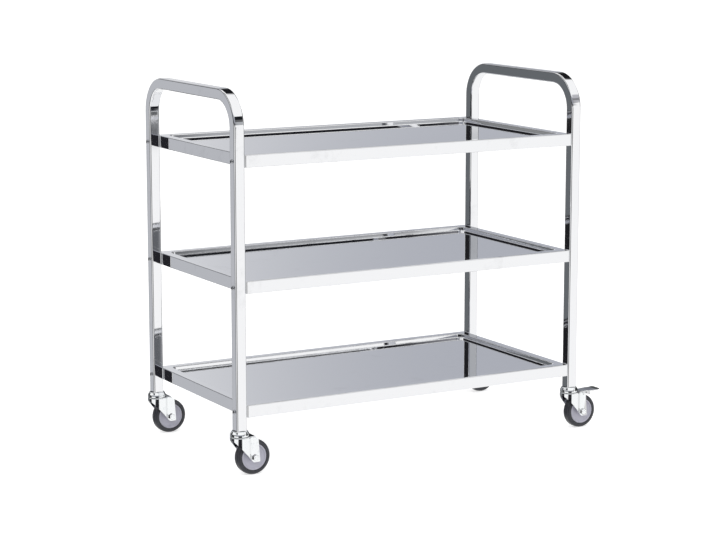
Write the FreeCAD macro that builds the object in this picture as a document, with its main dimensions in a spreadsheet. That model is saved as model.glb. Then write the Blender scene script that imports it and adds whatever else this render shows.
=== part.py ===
import FreeCAD, Part

import os

import Sketcher
from FreeCAD import Rotation, Vector

# Three-tier serving trolley on four swivel castors, in millimetres, +Z up, floor at zero.
# X runs along the trays, Y across them. The two castors on the +X end carry brake pedals.

# Driving sizes: alias, value, what it is.
SIZES = [
    ("length", 900.0, "over the outer faces of the two end hoops"),
    ("width", 462.0, "over the legs of one hoop"),
    ("height", 845.0, "floor to the top of the hoops"),
    ("tube", 25.0, "side of the square hoop tube"),
    ("tube_wall", 1.2, "wall of the hoop tube"),
    ("tube_corner", 3.5, "outer corner radius of the hoop tube"),
    ("bend_radius", 70.0, "hoop bend, to the centre line of the tube"),
    ("leg_bottom", 101.5, "floor to the open lower end of a leg"),
    ("low_rim", 158.0, "floor to the rim of the lowest tray"),
    ("hand_rise", 138.0, "rim of the top tray to the top of the hoops"),
    ("sheet", 1.0, "sheet of the pressed trays"),
    ("flange", 28.0, "depth of the turned-down tray flange"),
    ("rim_width", 22.0, "flat rim round the tray recess, with its bends"),
    ("rim_bend", 2.0, "bend radius at the rim's outer and inner edges"),
    ("corner_bend", 3.5, "upright corner radius of the tray flange"),
    ("recess_depth", 9.0, "depth of the pressed recess"),
    ("recess_corner", 14.0, "plan radius of the recess corners"),
    ("recess_foot", 1.2, "radius where the recess wall meets the deck"),
    ("recess_draft", 4.0, "lean of the recess wall, in degrees"),
    ("hem", 12.0, "inward return at the foot of the flange"),
    ("screw", 6.0, "thread diameter of the tray screws"),
    ("wheel", 80.0, "castor wheel diameter"),
    ("wheel_width", 22.0, "width of the tyre"),
    ("core", 59.0, "diameter of the wheel core's side discs"),
    ("trail", 30.0, "swivel axis to wheel axle"),
    ("crown_drop", 13.0, "lower end of the leg to the fork's crown"),
    ("crown", 43.0, "diameter of the fork's round crown and of its cup"),
    ("fork_sheet", 2.3, "sheet of the castor fork"),
    ("fork_foot", 34.0, "outer width of the fork at the axle"),
    ("fork_bend", 1.4, "inner bend radius of the fork's cheeks"),
    ("stem", 12.0, "diameter of the castor stem"),
    ("axle", 8.0, "diameter of the wheel axle"),
    ("ball", 4.9, "diameter of the bearing balls"),
    ("pedal_reach", 80.0, "swivel axis to the tip of the brake pedal"),
    ("pedal_width", 34.0, "width of the pedal at its tip"),
    ("pin", 4.0, "diameter of the pedal's hinge pin"),
    ("brake_angle", 9.0, "swing of the pedal onto the tyre, in degrees"),
    ("shoe_angle", 20.0, "from the top of the wheel to where the shoe bears, in degrees"),
    ("fit_gap", 0.05, "radial play of a running fit"),
    ("side_gap", 0.4, "play beside a moving piece"),
    ("hole_gap", 0.2, "radial play of a fixing hole"),
    ("overrun", 2.0, "how far a cutting shape runs past the face it opens"),
]

TIERS = ("bottom", "middle", "top")
CORNERS = {
    "front_left": (-1, -1, False),
    "back_left": (-1, 1, False),
    "front_right": (1, -1, True),
    "back_right": (1, 1, True),
}
BALL_COUNT = 8
FULL_TURN = 360.0
HALF_PI = Rotation(Vector(0, 0, 1), 90).Angle


class Size:
    """A size in millimetres together with the sheet expression that yields it."""

    def __init__(self, text, value):
        self.text = text
        self.value = value

    @staticmethod
    def of(other):
        """The size itself, or a plain number as a size."""
        return other if isinstance(other, Size) else Size(repr(other), float(other))

    def join(self, sign, other, value):
        """The size and another one put together by a sign of arithmetic."""
        return Size(f"({self.text} {sign} {other.text})", value)

    def __add__(self, other):
        other = Size.of(other)
        return self.join("+", other, self.value + other.value)

    def __sub__(self, other):
        other = Size.of(other)
        return self.join("-", other, self.value - other.value)

    def __mul__(self, other):
        other = Size.of(other)
        return self.join("*", other, self.value * other.value)

    def __truediv__(self, other):
        other = Size.of(other)
        return self.join("/", other, self.value / other.value)

    def __neg__(self):
        return Size(f"(0 - {self.text})", -self.value)

    __radd__ = __add__
    __rmul__ = __mul__


def root(size):
    """Square root of a product of two sizes."""
    return Size(f"sqrt({size.text})", size.value ** 0.5)


def cosine(angle):
    """Cosine of a size that holds degrees."""
    turn = Rotation(Vector(0, 0, 1), angle.value).multVec(Vector(1, 0, 0))
    return Size(f"cos({angle.text} * 1 deg)", turn.x)


def sine(angle):
    """Sine of a size that holds degrees."""
    turn = Rotation(Vector(0, 0, 1), angle.value).multVec(Vector(1, 0, 0))
    return Size(f"sin({angle.text} * 1 deg)", turn.y)


class Names:
    """The sheet's sizes as attributes."""

    def __init__(self, sheet, rows):
        for row, (alias, value, note) in enumerate(rows, start=1):
            sheet.set(f"A{row}", alias)
            sheet.set(f"B{row}", repr(value))
            sheet.set(f"C{row}", note)
            sheet.setAlias(f"B{row}", alias)
            setattr(self, alias, Size(f"Sizes.{alias}", value))


doc = FreeCAD.newDocument("Trolley")
sheet = doc.addObject("Spreadsheet::Sheet", "Sizes")
s = Names(sheet, SIZES)
doc.recompute()
nodes = []

# Places that several pieces share.
mid_x = (s.crown / 2 - s.pedal_reach) / 2
leg_x = s.length / 2 - s.tube / 2
leg_y = s.width / 2 - s.tube / 2
tray_half = s.length / 2 - s.tube
tray_pitch = (s.height - s.hand_rise - s.low_rim) / 2
screw_drop = s.flange / 2
wheel_radius = s.wheel / 2
crown_top = s.leg_bottom - s.crown_drop
crown_under = crown_top - s.fork_sheet


def rim_height(tier):
    """Height of a tray's rim above the floor."""
    return s.low_rim + tray_pitch * TIERS.index(tier)


# Small helpers for bodies, sketches and bound values.
def bind(thing, field, size):
    """Set a property from a size and keep it bound to the sheet."""
    thing.setExpression(field, Size.of(size).text)


def place(thing, x=None, y=None, z=None):
    """Bind a piece's place; a missing coordinate stays zero."""
    for axis, size in zip("xyz", (x, y, z)):
        if size is not None:
            bind(thing, f"Placement.Base.{axis}", size)


def node(thing, label):
    """Name a finished sub-part and keep it for writing."""
    thing.Label = label
    nodes.append(thing)


def new_body(name):
    """An empty body."""
    return doc.addObject("PartDesign::Body", name)


def sketch_on(body, role, name, lift=None, shift=None):
    """A sketch on an origin plane, lifted along its normal or shifted along its axes."""
    sketch = body.newObject("Sketcher::SketchObject", name)
    plane = [item for item in body.Origin.OriginFeatures if item.Role == role][0]
    sketch.AttachmentSupport = [(plane, "")]
    sketch.MapMode = "FlatFace"
    if lift is not None:
        bind(sketch, "AttachmentOffset.Base.z", lift)
    if shift is not None:
        bind(sketch, "AttachmentOffset.Base.x", shift[0])
        bind(sketch, "AttachmentOffset.Base.y", shift[1])
    return sketch


def datum(sketch, kind, size, *where):
    """Add a dimension bound to the sheet."""
    size = Size.of(size)
    index = sketch.addConstraint(Sketcher.Constraint(kind, *where, size.value))
    sketch.setExpression(f"Constraints[{index}]", size.text)


def pin_point(sketch, geometry, end, point):
    """Hold a point at two bound distances from the sketch's origin."""
    for kind, size in zip(("DistanceX", "DistanceY"), point):
        datum(sketch, kind, size, -1, 1, geometry, end)


def polygon(sketch, points):
    """A closed outline of straight edges through bound points."""
    spots = [Vector(Size.of(x).value, Size.of(y).value, 0) for x, y in points]
    lines = []
    for spot, following in zip(spots, spots[1:] + spots[:1]):
        lines.append(sketch.addGeometry(Part.LineSegment(spot, following), False))
    for line, following in zip(lines, lines[1:] + lines[:1]):
        sketch.addConstraint(Sketcher.Constraint("Coincident", line, 2, following, 1))
    for line, point in zip(lines, points):
        pin_point(sketch, line, 1, point)


def circle(sketch, centre, radius):
    """A circle with bound centre and radius."""
    radius = Size.of(radius)
    spot = Vector(Size.of(centre[0]).value, Size.of(centre[1]).value, 0)
    ring = sketch.addGeometry(Part.Circle(spot, Vector(0, 0, 1), radius.value), False)
    datum(sketch, "Radius", radius, ring)
    pin_point(sketch, ring, 3, centre)


def rectangle(sketch, half_x, half_y):
    """A rectangle centred on the sketch's origin."""
    polygon(sketch, [(-half_x, -half_y), (half_x, -half_y), (half_x, half_y), (-half_x, half_y)])


def round_rectangle(sketch, half_x, half_y, radius):
    """A rectangle with round corners, centred on the sketch's origin."""
    hx, hy, r = half_x.value, half_y.value, radius.value
    corners = [(hx - r, hy - r), (r - hx, hy - r), (r - hx, r - hy), (hx - r, r - hy)]
    arcs = []
    for quarter, (x, y) in enumerate(corners):
        bow = Part.Circle(Vector(x, y, 0), Vector(0, 0, 1), r)
        arc = Part.ArcOfCircle(bow, quarter * HALF_PI, (quarter + 1) * HALF_PI)
        arcs.append(sketch.addGeometry(arc, False))
    lines = []
    for arc, following in zip(arcs, arcs[1:] + arcs[:1]):
        begin = sketch.getPoint(arc, 2)
        end = sketch.getPoint(following, 1)
        line = sketch.addGeometry(Part.LineSegment(begin, end), False)
        sketch.addConstraint(Sketcher.Constraint("Tangent", arc, 2, line, 1))
        sketch.addConstraint(Sketcher.Constraint("Tangent", line, 2, following, 1))
        lines.append(line)
    for line, way in zip(lines, ("Horizontal", "Vertical", "Horizontal", "Vertical")):
        sketch.addConstraint(Sketcher.Constraint(way, line))
    for arc in arcs[1:]:
        sketch.addConstraint(Sketcher.Constraint("Equal", arcs[0], arc))
    datum(sketch, "Radius", radius, arcs[0])
    datum(sketch, "DistanceY", half_y, -1, 1, lines[0], 1)
    datum(sketch, "DistanceX", -half_x, -1, 1, lines[1], 1)
    datum(sketch, "DistanceY", -half_y, -1, 1, lines[2], 1)
    datum(sketch, "DistanceX", half_x, -1, 1, lines[3], 1)


def pad(body, sketch, length, both_ways=False, reverse=False):
    """Add material over a bound length."""
    feature = body.newObject("PartDesign::Pad", sketch.Name + "_pad")
    feature.Profile = sketch
    bind(feature, "Length", length)
    feature.Midplane = both_ways
    feature.Reversed = reverse
    return feature


def pocket(body, sketch, length=None, both_ways=False, reverse=False):
    """Cut material over a bound length, or right through."""
    feature = body.newObject("PartDesign::Pocket", sketch.Name + "_cut")
    feature.Profile = sketch
    if length is None:
        feature.Type = "ThroughAll"
    else:
        bind(feature, "Length", length)
    feature.Midplane = both_ways
    feature.Reversed = reverse
    return feature


def turn(body, sketch, axis):
    """Turn an outline once round the sketch's own axis."""
    feature = body.newObject("PartDesign::Revolution", sketch.Name + "_turn")
    feature.Profile = sketch
    feature.ReferenceAxis = (sketch, [axis])
    feature.Angle = FULL_TURN
    return feature


def fillet(body, base, size, test):
    """Round those edges of a feature that pass a test."""
    doc.recompute()
    edges = [f"Edge{i}" for i, edge in enumerate(base.Shape.Edges, start=1) if test(edge)]
    feature = body.newObject("PartDesign::Fillet", base.Name + "_round")
    feature.Base = (base, edges)
    bind(feature, "Radius", size)
    return feature


def close(a, b):
    """Equal within a hair, for picking edges by place."""
    hair_share = 0.1
    return abs(a - b) < s.fit_gap.value * hair_share


def upright(edge):
    """A straight edge along Z."""
    box = edge.BoundBox
    return close(box.XLength, 0) and close(box.YLength, 0)


def level_at(edge, z):
    """An edge that lies wholly at one height."""
    box = edge.BoundBox
    return close(box.ZMin, z) and close(box.ZMax, z)


# End hoops: one bent square tube each, open at the foot, drilled for the tray screws.
def make_hoop(label, side):
    """One hoop, standing at the left or right end of the trays."""
    body = new_body("Hoop")
    centre_z = s.height - s.tube / 2
    path = sketch_on(body, "YZ_Plane", "Path")
    a, r, top, foot = leg_y.value, s.bend_radius.value, centre_z.value, s.leg_bottom.value
    left = Part.LineSegment(Vector(-a, foot, 0), Vector(-a, top - r, 0))
    over = Part.LineSegment(Vector(r - a, top, 0), Vector(a - r, top, 0))
    right = Part.LineSegment(Vector(a, top - r, 0), Vector(a, foot, 0))
    near = Part.Circle(Vector(r - a, top - r, 0), Vector(0, 0, 1), r)
    far = Part.Circle(Vector(a - r, top - r, 0), Vector(0, 0, 1), r)
    bend = Part.ArcOfCircle(near, HALF_PI, 2 * HALF_PI)
    other = Part.ArcOfCircle(far, 0, HALF_PI)
    parts = (left, bend, over, other, right)
    leg, bow, bar, elbow, post = [path.addGeometry(item, False) for item in parts]
    joins = ((leg, 2, bow, 2), (bow, 1, bar, 1), (bar, 2, elbow, 2), (elbow, 1, post, 1))
    for one, end, two, start in joins:
        path.addConstraint(Sketcher.Constraint("Tangent", one, end, two, start))
    path.addConstraint(Sketcher.Constraint("Vertical", leg))
    path.addConstraint(Sketcher.Constraint("Vertical", post))
    path.addConstraint(Sketcher.Constraint("Horizontal", bar))
    path.addConstraint(Sketcher.Constraint("Equal", bow, elbow))
    datum(path, "Radius", s.bend_radius, bow)
    pin_point(path, leg, 1, (-leg_y, s.leg_bottom))
    pin_point(path, post, 2, (leg_y, s.leg_bottom))
    datum(path, "DistanceY", centre_z, -1, 1, bar, 1)

    ring = sketch_on(body, "XY_Plane", "Ring", lift=s.leg_bottom, shift=(Size.of(0), -leg_y))
    half = s.tube / 2
    bore = half - s.tube_wall
    round_rectangle(ring, half, half, s.tube_corner)
    round_rectangle(ring, bore, bore, s.tube_corner - s.tube_wall)
    doc.recompute()
    pipe = body.newObject("PartDesign::AdditivePipe", "Bent_tube")
    pipe.Profile = ring
    pipe.Spine = (path, [f"Edge{i + 1}" for i in range(len(path.Shape.Edges))])

    holes = sketch_on(body, "YZ_Plane", "Screw_holes")
    for tier in TIERS:
        for y in (-leg_y, leg_y):
            circle(holes, (y, rim_height(tier) - screw_drop), s.screw / 2 + s.hole_gap)
    pocket(body, holes, both_ways=True)
    place(body, x=mid_x + leg_x * side)
    node(body, label)


# Trays: one pressed sheet each, made as an outer form less the same form set in by the sheet.
def tray_form(name, inset):
    """The tray's block with its recess, every face set in by the given amount."""
    body = new_body(name)
    outline = sketch_on(body, "XY_Plane", name + "_outline", lift=-inset)
    rectangle(outline, tray_half - inset, s.width / 2 - inset)
    block = pad(body, outline, s.flange - inset * 2, reverse=True)
    fillet(body, block, s.corner_bend - inset, upright)
    recess = sketch_on(body, "XY_Plane", name + "_recess", lift=-inset)
    round_rectangle(
        recess,
        tray_half - s.rim_width + inset,
        s.width / 2 - s.rim_width + inset,
        s.recess_corner + inset,
    )
    hollow = pocket(body, recess, s.recess_depth)
    bind(hollow, "TaperAngle", -s.recess_draft)
    top = -inset.value
    foot = top - s.recess_depth.value
    rims = fillet(body, hollow, s.rim_bend - inset, lambda edge: level_at(edge, top))
    fillet(body, rims, s.recess_foot + inset, lambda edge: level_at(edge, foot))
    return body


def make_tray(tier):
    """One tray, drilled for its four screws and open underneath inside the hem."""
    outer = tray_form("Tray_outer", Size.of(0))
    holes = sketch_on(outer, "YZ_Plane", "Flange_holes")
    for y in (-leg_y, leg_y):
        circle(holes, (y, -screw_drop), s.screw / 2 + s.hole_gap)
    pocket(outer, holes, both_ways=True)

    inner = tray_form("Tray_inner", s.sheet)
    mouth = sketch_on(inner, "XY_Plane", "Hem_mouth", lift=s.sheet - s.flange)
    rectangle(mouth, tray_half - s.hem, s.width / 2 - s.hem)
    pad(inner, mouth, s.sheet + s.overrun, reverse=True)

    tray = doc.addObject("Part::Cut", "Tray")
    tray.Base = outer
    tray.Tool = inner
    place(tray, x=mid_x, z=rim_height(tier))
    node(tray, "tray_" + tier)


# Tray screws and weld nuts: one of each at a corner, mirrored to the other three.
def four_corners(body, name):
    """The piece and its three mirror images about the two upright middle planes."""
    group = [body]
    for normal in (Vector(1, 0, 0), Vector(0, 1, 0)):
        for item in list(group):
            image = doc.addObject("Part::Mirroring", name + "_image")
            image.Source = item
            image.Normal = normal
            group.append(image)
    return group


def hexagon(sketch, across, flats_up=True):
    """A hexagon by its width across flats, centred on the sketch's origin."""
    flat = across / 2
    point = across / root(Size.of(3))
    half = point / 2
    zero = Size.of(0)
    corners = [(point, zero), (half, flat), (-half, flat), (-point, zero), (-half, -flat), (half, -flat)]
    polygon(sketch, corners if flats_up else [(-y, x) for x, y in corners])


def make_screws():
    """The screws of each tray and the nuts welded behind its flanges."""
    head_share = 0.875
    crown_share = 0.65
    shoulder_share = 0.92
    rise_share = 0.55
    socket_share = 0.67
    socket_depth_share = 0.6
    nut_share = 0.85
    nut_across_share = 1.67
    tip_share = 0.35
    zero = Size.of(0)
    radius = s.screw / 2
    head = s.screw * head_share
    rise = s.screw * rise_share
    nut_depth = s.screw * nut_share
    reach = s.tube + s.sheet + nut_depth + s.screw * tip_share

    screw = new_body("Screw")
    profile = sketch_on(screw, "XZ_Plane", "Screw_profile")
    polygon(profile, [
        (-rise, zero), (-rise, head * crown_share), (-rise / 2, head * shoulder_share),
        (zero, head), (zero, radius), (reach, radius), (reach, zero),
    ])
    turn(screw, profile, "H_Axis")
    socket = sketch_on(screw, "YZ_Plane", "Socket", lift=-rise)
    hexagon(socket, s.screw * socket_share)
    pocket(screw, socket, rise * socket_depth_share, reverse=True)
    place(screw, x=-s.length / 2, y=-leg_y)

    nut = new_body("Weld_nut")
    block = sketch_on(nut, "YZ_Plane", "Nut_block")
    hexagon(block, s.screw * nut_across_share, flats_up=False)
    circle(block, (zero, zero), radius + s.fit_gap)
    pad(nut, block, nut_depth)
    place(nut, x=s.sheet - tray_half, y=-leg_y)

    for body, name in ((screw, "screws_"), (nut, "weld_nuts_")):
        group = four_corners(body, name)
        for tier in TIERS:
            cluster = doc.addObject("Part::Compound", name + tier)
            cluster.Links = group
            place(cluster, x=mid_x, z=rim_height(tier) - screw_drop)
            node(cluster, name + tier)


# Castors: socket, stem, cup and balls stay with the leg, the fork and its pieces swivel.
class Castor:
    """One swivel castor under a leg."""

    stem_rise_share = 2.5
    cup_sheet_share = 0.15
    dome_share = 0.62
    cone_run_share = 0.095
    dome_rim_share = 0.358

    def __init__(self, corner, along, across, braked):
        self.corner = corner
        self.x = mid_x + leg_x * along
        self.y = leg_y * across
        self.braked = braked
        self.zero = Size.of(0)
        self.cup_sheet = s.crown_drop * self.cup_sheet_share
        self.ceiling = s.leg_bottom - self.cup_sheet
        self.dome_top = crown_top + s.crown_drop * self.dome_share
        self.cone_run = s.crown * self.cone_run_share
        self.dome_rim = s.crown * self.dome_rim_share
        self.stem_radius = s.stem / 2

    def keep(self, thing, name, x=None, z=None):
        """Set a piece under its leg, name it after the corner and keep it for writing."""
        place(thing, x=self.x if x is None else self.x + x, y=self.y, z=z)
        node(thing, f"{name}_{self.corner}")

    def turned(self, name, points):
        """A piece turned about the swivel axis from a radius and height outline."""
        body = new_body(name.title())
        profile = sketch_on(body, "XZ_Plane", name.title() + "_profile")
        polygon(profile, points)
        turn(body, profile, "V_Axis")
        return body

    def rolled(self, name, points):
        """A piece turned about the axle from a radius and width outline."""
        body = new_body(name.title())
        profile = sketch_on(body, "XY_Plane", name.title() + "_profile")
        polygon(profile, points)
        turn(body, profile, "V_Axis")
        return body

    def make_socket(self):
        """The insert in the leg's open end that takes the stem."""
        play_share = 0.5
        body = new_body("Socket")
        block = sketch_on(body, "XY_Plane", "Socket_block", lift=s.leg_bottom)
        half = s.tube / 2 - s.tube_wall - s.hole_gap * play_share
        round_rectangle(block, half, half, s.tube_corner - s.tube_wall)
        circle(block, (self.zero, self.zero), self.stem_radius + s.fit_gap)
        pad(body, block, s.stem * self.stem_rise_share)
        self.keep(body, "leg_socket")

    def make_stem(self):
        """The stem, with a shoulder under the cup and a head under the fork's dome."""
        shoulder_share = 1.45
        head_share = 1.5
        head_depth_share = 0.29
        lift_share = 0.18
        play_share = 2.0
        radius = self.stem_radius
        shoulder = radius * shoulder_share
        head = radius * head_share
        head_top = self.dome_top - s.fork_sheet - s.fit_gap * play_share
        head_foot = head_top - s.stem * head_depth_share
        shoulder_foot = self.dome_top + s.fork_sheet * lift_share
        top = s.leg_bottom + s.stem * self.stem_rise_share
        body = self.turned("stem", [
            (self.zero, head_foot), (head, head_foot), (head, head_top), (radius, head_top),
            (radius, shoulder_foot), (shoulder, shoulder_foot), (shoulder, self.ceiling),
            (radius, self.ceiling), (radius, top), (self.zero, top),
        ])
        self.keep(body, "stem")

    def make_cup(self):
        """The pressed cup over the bearing, a cone above a short skirt."""
        skirt_share = 1.3
        lip_share = 0.43
        top_share = 0.85
        bend_share = 0.55
        sheet = self.cup_sheet
        rim = s.crown / 2 - sheet
        high = rim - self.cone_run
        foot = crown_top + s.fork_sheet * skirt_share
        lip = crown_top + s.fork_sheet * lip_share
        bore = self.stem_radius + s.fit_gap
        body = self.turned("cup", [
            (bore, s.leg_bottom), (high + sheet * top_share, s.leg_bottom),
            (rim + sheet, foot + sheet * bend_share), (rim + sheet, lip), (rim, lip), (rim, foot),
            (high, self.ceiling), (bore, self.ceiling),
        ])
        self.keep(body, "cup")

    def make_balls(self):
        """The ring of bearing balls between the cup and the fork's dome."""
        ring_share = 0.3645
        lift_share = 0.385
        ring = s.crown * ring_share
        lift = crown_top + s.crown_drop * lift_share
        balls = []
        for index in range(BALL_COUNT):
            way = Rotation(Vector(0, 0, 1), FULL_TURN * index / BALL_COUNT).multVec(Vector(1, 0, 0))
            ball = doc.addObject("Part::Sphere", "Ball")
            bind(ball, "Radius", s.ball / 2)
            place(ball, x=ring * round(way.x, 9), y=ring * round(way.y, 9), z=lift)
            balls.append(ball)
        race = doc.addObject("Part::Compound", "Balls")
        race.Links = balls
        self.keep(race, "balls")

    def fork_form(self, name, inset, foot, rear):
        """The fork's block: a round crown whose cheeks step in and run on to the axle."""
        crease_share = 0.4
        step_share = 0.27
        crease = s.trail * crease_share
        run = s.trail * step_share
        step = (s.crown - s.fork_foot) / 2
        lean = (root(run * run + step * step) - run) / step
        near = crease - inset * lean
        far = near + run
        radius = s.crown / 2 - inset
        slim = s.fork_foot / 2 - inset

        body = new_body(name)
        plan = sketch_on(body, "XY_Plane", name + "_plan", lift=crown_top - inset)
        bow = Part.Circle(Vector(0, 0, 0), Vector(0, 0, 1), radius.value)
        arc = plan.addGeometry(Part.ArcOfCircle(bow, HALF_PI, 3 * HALF_PI), False)
        outline = [
            (self.zero, radius), (near, radius), (far, slim), (rear, slim),
            (rear, -slim), (far, -slim), (near, -radius), (self.zero, -radius),
        ]
        spots = [Vector(x.value, y.value, 0) for x, y in outline]
        lines = [plan.addGeometry(Part.LineSegment(a, b), False) for a, b in zip(spots, spots[1:])]
        plan.addConstraint(Sketcher.Constraint("Coincident", arc, 3, -1, 1))
        plan.addConstraint(Sketcher.Constraint("Coincident", arc, 1, lines[0], 1))
        plan.addConstraint(Sketcher.Constraint("Coincident", lines[-1], 2, arc, 2))
        for line, following in zip(lines, lines[1:]):
            plan.addConstraint(Sketcher.Constraint("Coincident", line, 2, following, 1))
        for line, point in zip(lines, outline):
            pin_point(plan, line, 1, point)
        plan.addConstraint(Sketcher.Constraint("PointOnObject", arc, 2, -2))
        block = pad(body, plan, crown_top - inset - foot, reverse=True)
        outer_bend = s.fork_bend + s.fork_sheet - inset
        inner_bend = s.fork_bend + inset
        crest = fillet(body, block, outer_bend, self.standing_at(near, radius))
        return body, fillet(body, crest, inner_bend, self.standing_at(far, slim))

    @staticmethod
    def standing_at(x, y):
        """A test for the upright edges at a place and at its mirror image."""
        def test(edge):
            box = edge.BoundBox
            return upright(edge) and close(box.XMin, x.value) and close(abs(box.YMin), y.value)
        return test

    def cut_sides(self, outer, foot, heel):
        """Trim the cheeks: swept back at the front, nearly upright at the rear, round at the foot."""
        skirt_share = 0.5
        toe_share = 0.62
        shoulder_share = 0.25
        shoulder_rise_share = 1.01
        round_share = 0.36
        front = -s.crown / 2 - s.overrun
        skirt = crown_top - s.crown_drop * skirt_share
        toe = s.trail - s.axle * toe_share
        shoulder = (s.trail * (1 + shoulder_share), s.wheel * shoulder_rise_share)
        side = sketch_on(outer, "XZ_Plane", "Fork_side")
        polygon(side, [
            (front, skirt), (-s.crown / 2, skirt), (toe, foot), (toe, foot - s.overrun),
            (front, foot - s.overrun),
        ])
        polygon(side, [
            (s.trail, crown_top), shoulder, (heel, foot), (heel + s.overrun, foot),
            (heel + s.overrun, crown_top + s.overrun), (s.trail, crown_top + s.overrun),
        ])
        shaped = pocket(outer, side, both_ways=True)

        def at_foot(edge):
            box = edge.BoundBox
            level = level_at(edge, foot.value) and close(box.XLength, 0)
            return level and (close(box.XMin, toe.value) or close(box.XMin, heel.value))

        return fillet(outer, shaped, s.axle * round_share, at_foot)

    def make_fork(self):
        """The fork, folded from one sheet, with the raised dome that carries the balls."""
        foot_share = 1.3
        heel_share = 1.44
        crown_bend_share = 0.9
        dome_wall_share = 0.6
        gate_depth_share = 2.0
        foot = wheel_radius - s.axle * foot_share
        heel = s.trail + s.axle * heel_share
        zero = self.zero
        outer, block = self.fork_form("Fork_outer", zero, foot, heel)
        shaped = self.cut_sides(outer, foot, heel)
        top = crown_top.value
        fillet(outer, shaped, s.fork_sheet * crown_bend_share,
               lambda edge: level_at(edge, top) and not close(edge.BoundBox.XLength, 0))
        narrow = self.dome_rim - self.cone_run
        dome = sketch_on(outer, "XZ_Plane", "Dome")
        polygon(dome, [(zero, crown_under), (self.dome_rim, crown_under), (self.dome_rim, crown_top),
                       (narrow, self.dome_top), (zero, self.dome_top)])
        turn(outer, dome, "V_Axis")
        bore = sketch_on(outer, "XY_Plane", "Stem_bore", lift=self.dome_top + s.overrun)
        circle(bore, (zero, zero), self.stem_radius + s.side_gap)
        pocket(outer, bore, s.crown_drop + s.fork_sheet + s.overrun)
        holes = sketch_on(outer, "XZ_Plane", "Axle_holes")
        circle(holes, (s.trail, wheel_radius), s.axle / 2 + s.fit_gap)
        if self.braked:
            circle(holes, self.pin_place(), s.pin / 2 + s.fit_gap)
        pocket(outer, holes, both_ways=True)
        if self.braked:
            gate = sketch_on(outer, "XY_Plane", "Pedal_gate", lift=crown_top + s.overrun)
            half = s.fork_foot / 2 - s.fork_sheet
            start = s.crown / 2
            end = heel + s.overrun
            polygon(gate, [(start, -half), (end, -half), (end, half), (start, half)])
            pocket(outer, gate, s.fork_sheet * gate_depth_share + s.overrun)

        inner = self.fork_form("Fork_inner", s.fork_sheet, foot - s.overrun, heel + s.overrun)[0]
        under = sketch_on(inner, "XZ_Plane", "Dome_under")
        wall = s.fork_sheet * dome_wall_share
        polygon(under, [
            (zero, crown_under - s.fork_sheet), (self.dome_rim, crown_under - s.fork_sheet),
            (self.dome_rim - wall, crown_under), (narrow - wall, self.dome_top - s.fork_sheet),
            (zero, self.dome_top - s.fork_sheet),
        ])
        turn(inner, under, "V_Axis")

        fork = doc.addObject("Part::Cut", "Fork")
        fork.Base = outer
        fork.Tool = inner
        self.keep(fork, "fork")

    def make_axle(self):
        """The axle bolt, its head behind the fork, and its nut in front."""
        head_share = 1.62
        head_depth_share = 0.52
        nut_depth_share = 0.52
        tip_share = 0.56
        radius = s.axle / 2
        face = s.fork_foot / 2
        body = new_body("Axle")
        shank = sketch_on(body, "XZ_Plane", "Axle_shank", lift=-face)
        circle(shank, (self.zero, self.zero), radius)
        pad(body, shank, face * 2 + s.axle * tip_share)
        head = sketch_on(body, "XZ_Plane", "Axle_head", lift=-face)
        hexagon(head, s.axle * head_share)
        pad(body, head, s.axle * head_depth_share, reverse=True)
        self.keep(body, "axle_bolt", x=s.trail, z=wheel_radius)

        nut = new_body("Axle_nut")
        block = sketch_on(nut, "XZ_Plane", "Axle_nut_block", lift=face)
        hexagon(block, s.axle * head_share)
        circle(block, (self.zero, self.zero), radius + s.fit_gap)
        pad(nut, block, s.axle * nut_depth_share)
        self.keep(nut, "axle_nut", x=s.trail, z=wheel_radius)

    def make_wheel(self):
        """The wheel: a sleeve that the fork clamps, the moulded core round it, and the tyre."""
        sleeve_share = 0.75
        disc_share = 0.88
        web_share = 0.72
        bead_share = 0.2
        seat_share = 0.03
        boss_share = 1.3
        boss_flare_share = 1.08
        lip_share = 0.045
        dish_share = 0.95
        chamfer_share = 0.035
        tread_share = 0.9
        half = s.fork_foot / 2 - s.fork_sheet
        bore = s.axle / 2 + s.fit_gap
        sleeve = s.axle * sleeve_share
        body = self.rolled("sleeve", [(bore, -half), (sleeve, -half), (sleeve, half), (bore, half)])
        self.keep(body, "axle_sleeve", x=s.trail, z=wheel_radius)

        hub = half - s.side_gap
        shoulder = s.wheel_width / 2
        disc = shoulder * disc_share
        web = disc * web_share
        bead = s.wheel_width * bead_share
        rim = s.core / 2
        seat = rim + s.wheel * seat_share
        boss = s.axle * boss_share
        lip = rim - s.wheel * lip_share
        inside = sleeve + s.fit_gap
        right = [
            (inside, hub), (boss, hub), (boss * boss_flare_share, web), (lip * dish_share, web),
            (lip, disc), (rim, disc), (rim, bead), (seat, bead),
        ]
        left = [(r, -y) for r, y in reversed(right)]
        body = self.rolled("core", right + left)
        self.keep(body, "wheel_core", x=s.trail, z=wheel_radius)

        chamfer = s.wheel * chamfer_share
        right = [
            (seat, bead), (rim, bead), (rim, disc), (rim + chamfer, shoulder),
            (wheel_radius - chamfer, shoulder), (wheel_radius, shoulder - chamfer * tread_share),
        ]
        left = [(r, -y) for r, y in reversed(right)]
        body = self.rolled("tyre", right + left)
        self.keep(body, "tyre", x=s.trail, z=wheel_radius)

    def pin_place(self):
        """Centre of the pedal's hinge pin, over the wheel and just under the crown."""
        ahead_share = 0.25
        rise_share = 1.08
        return s.trail + s.pin * ahead_share, s.wheel + s.pin * rise_share

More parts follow.
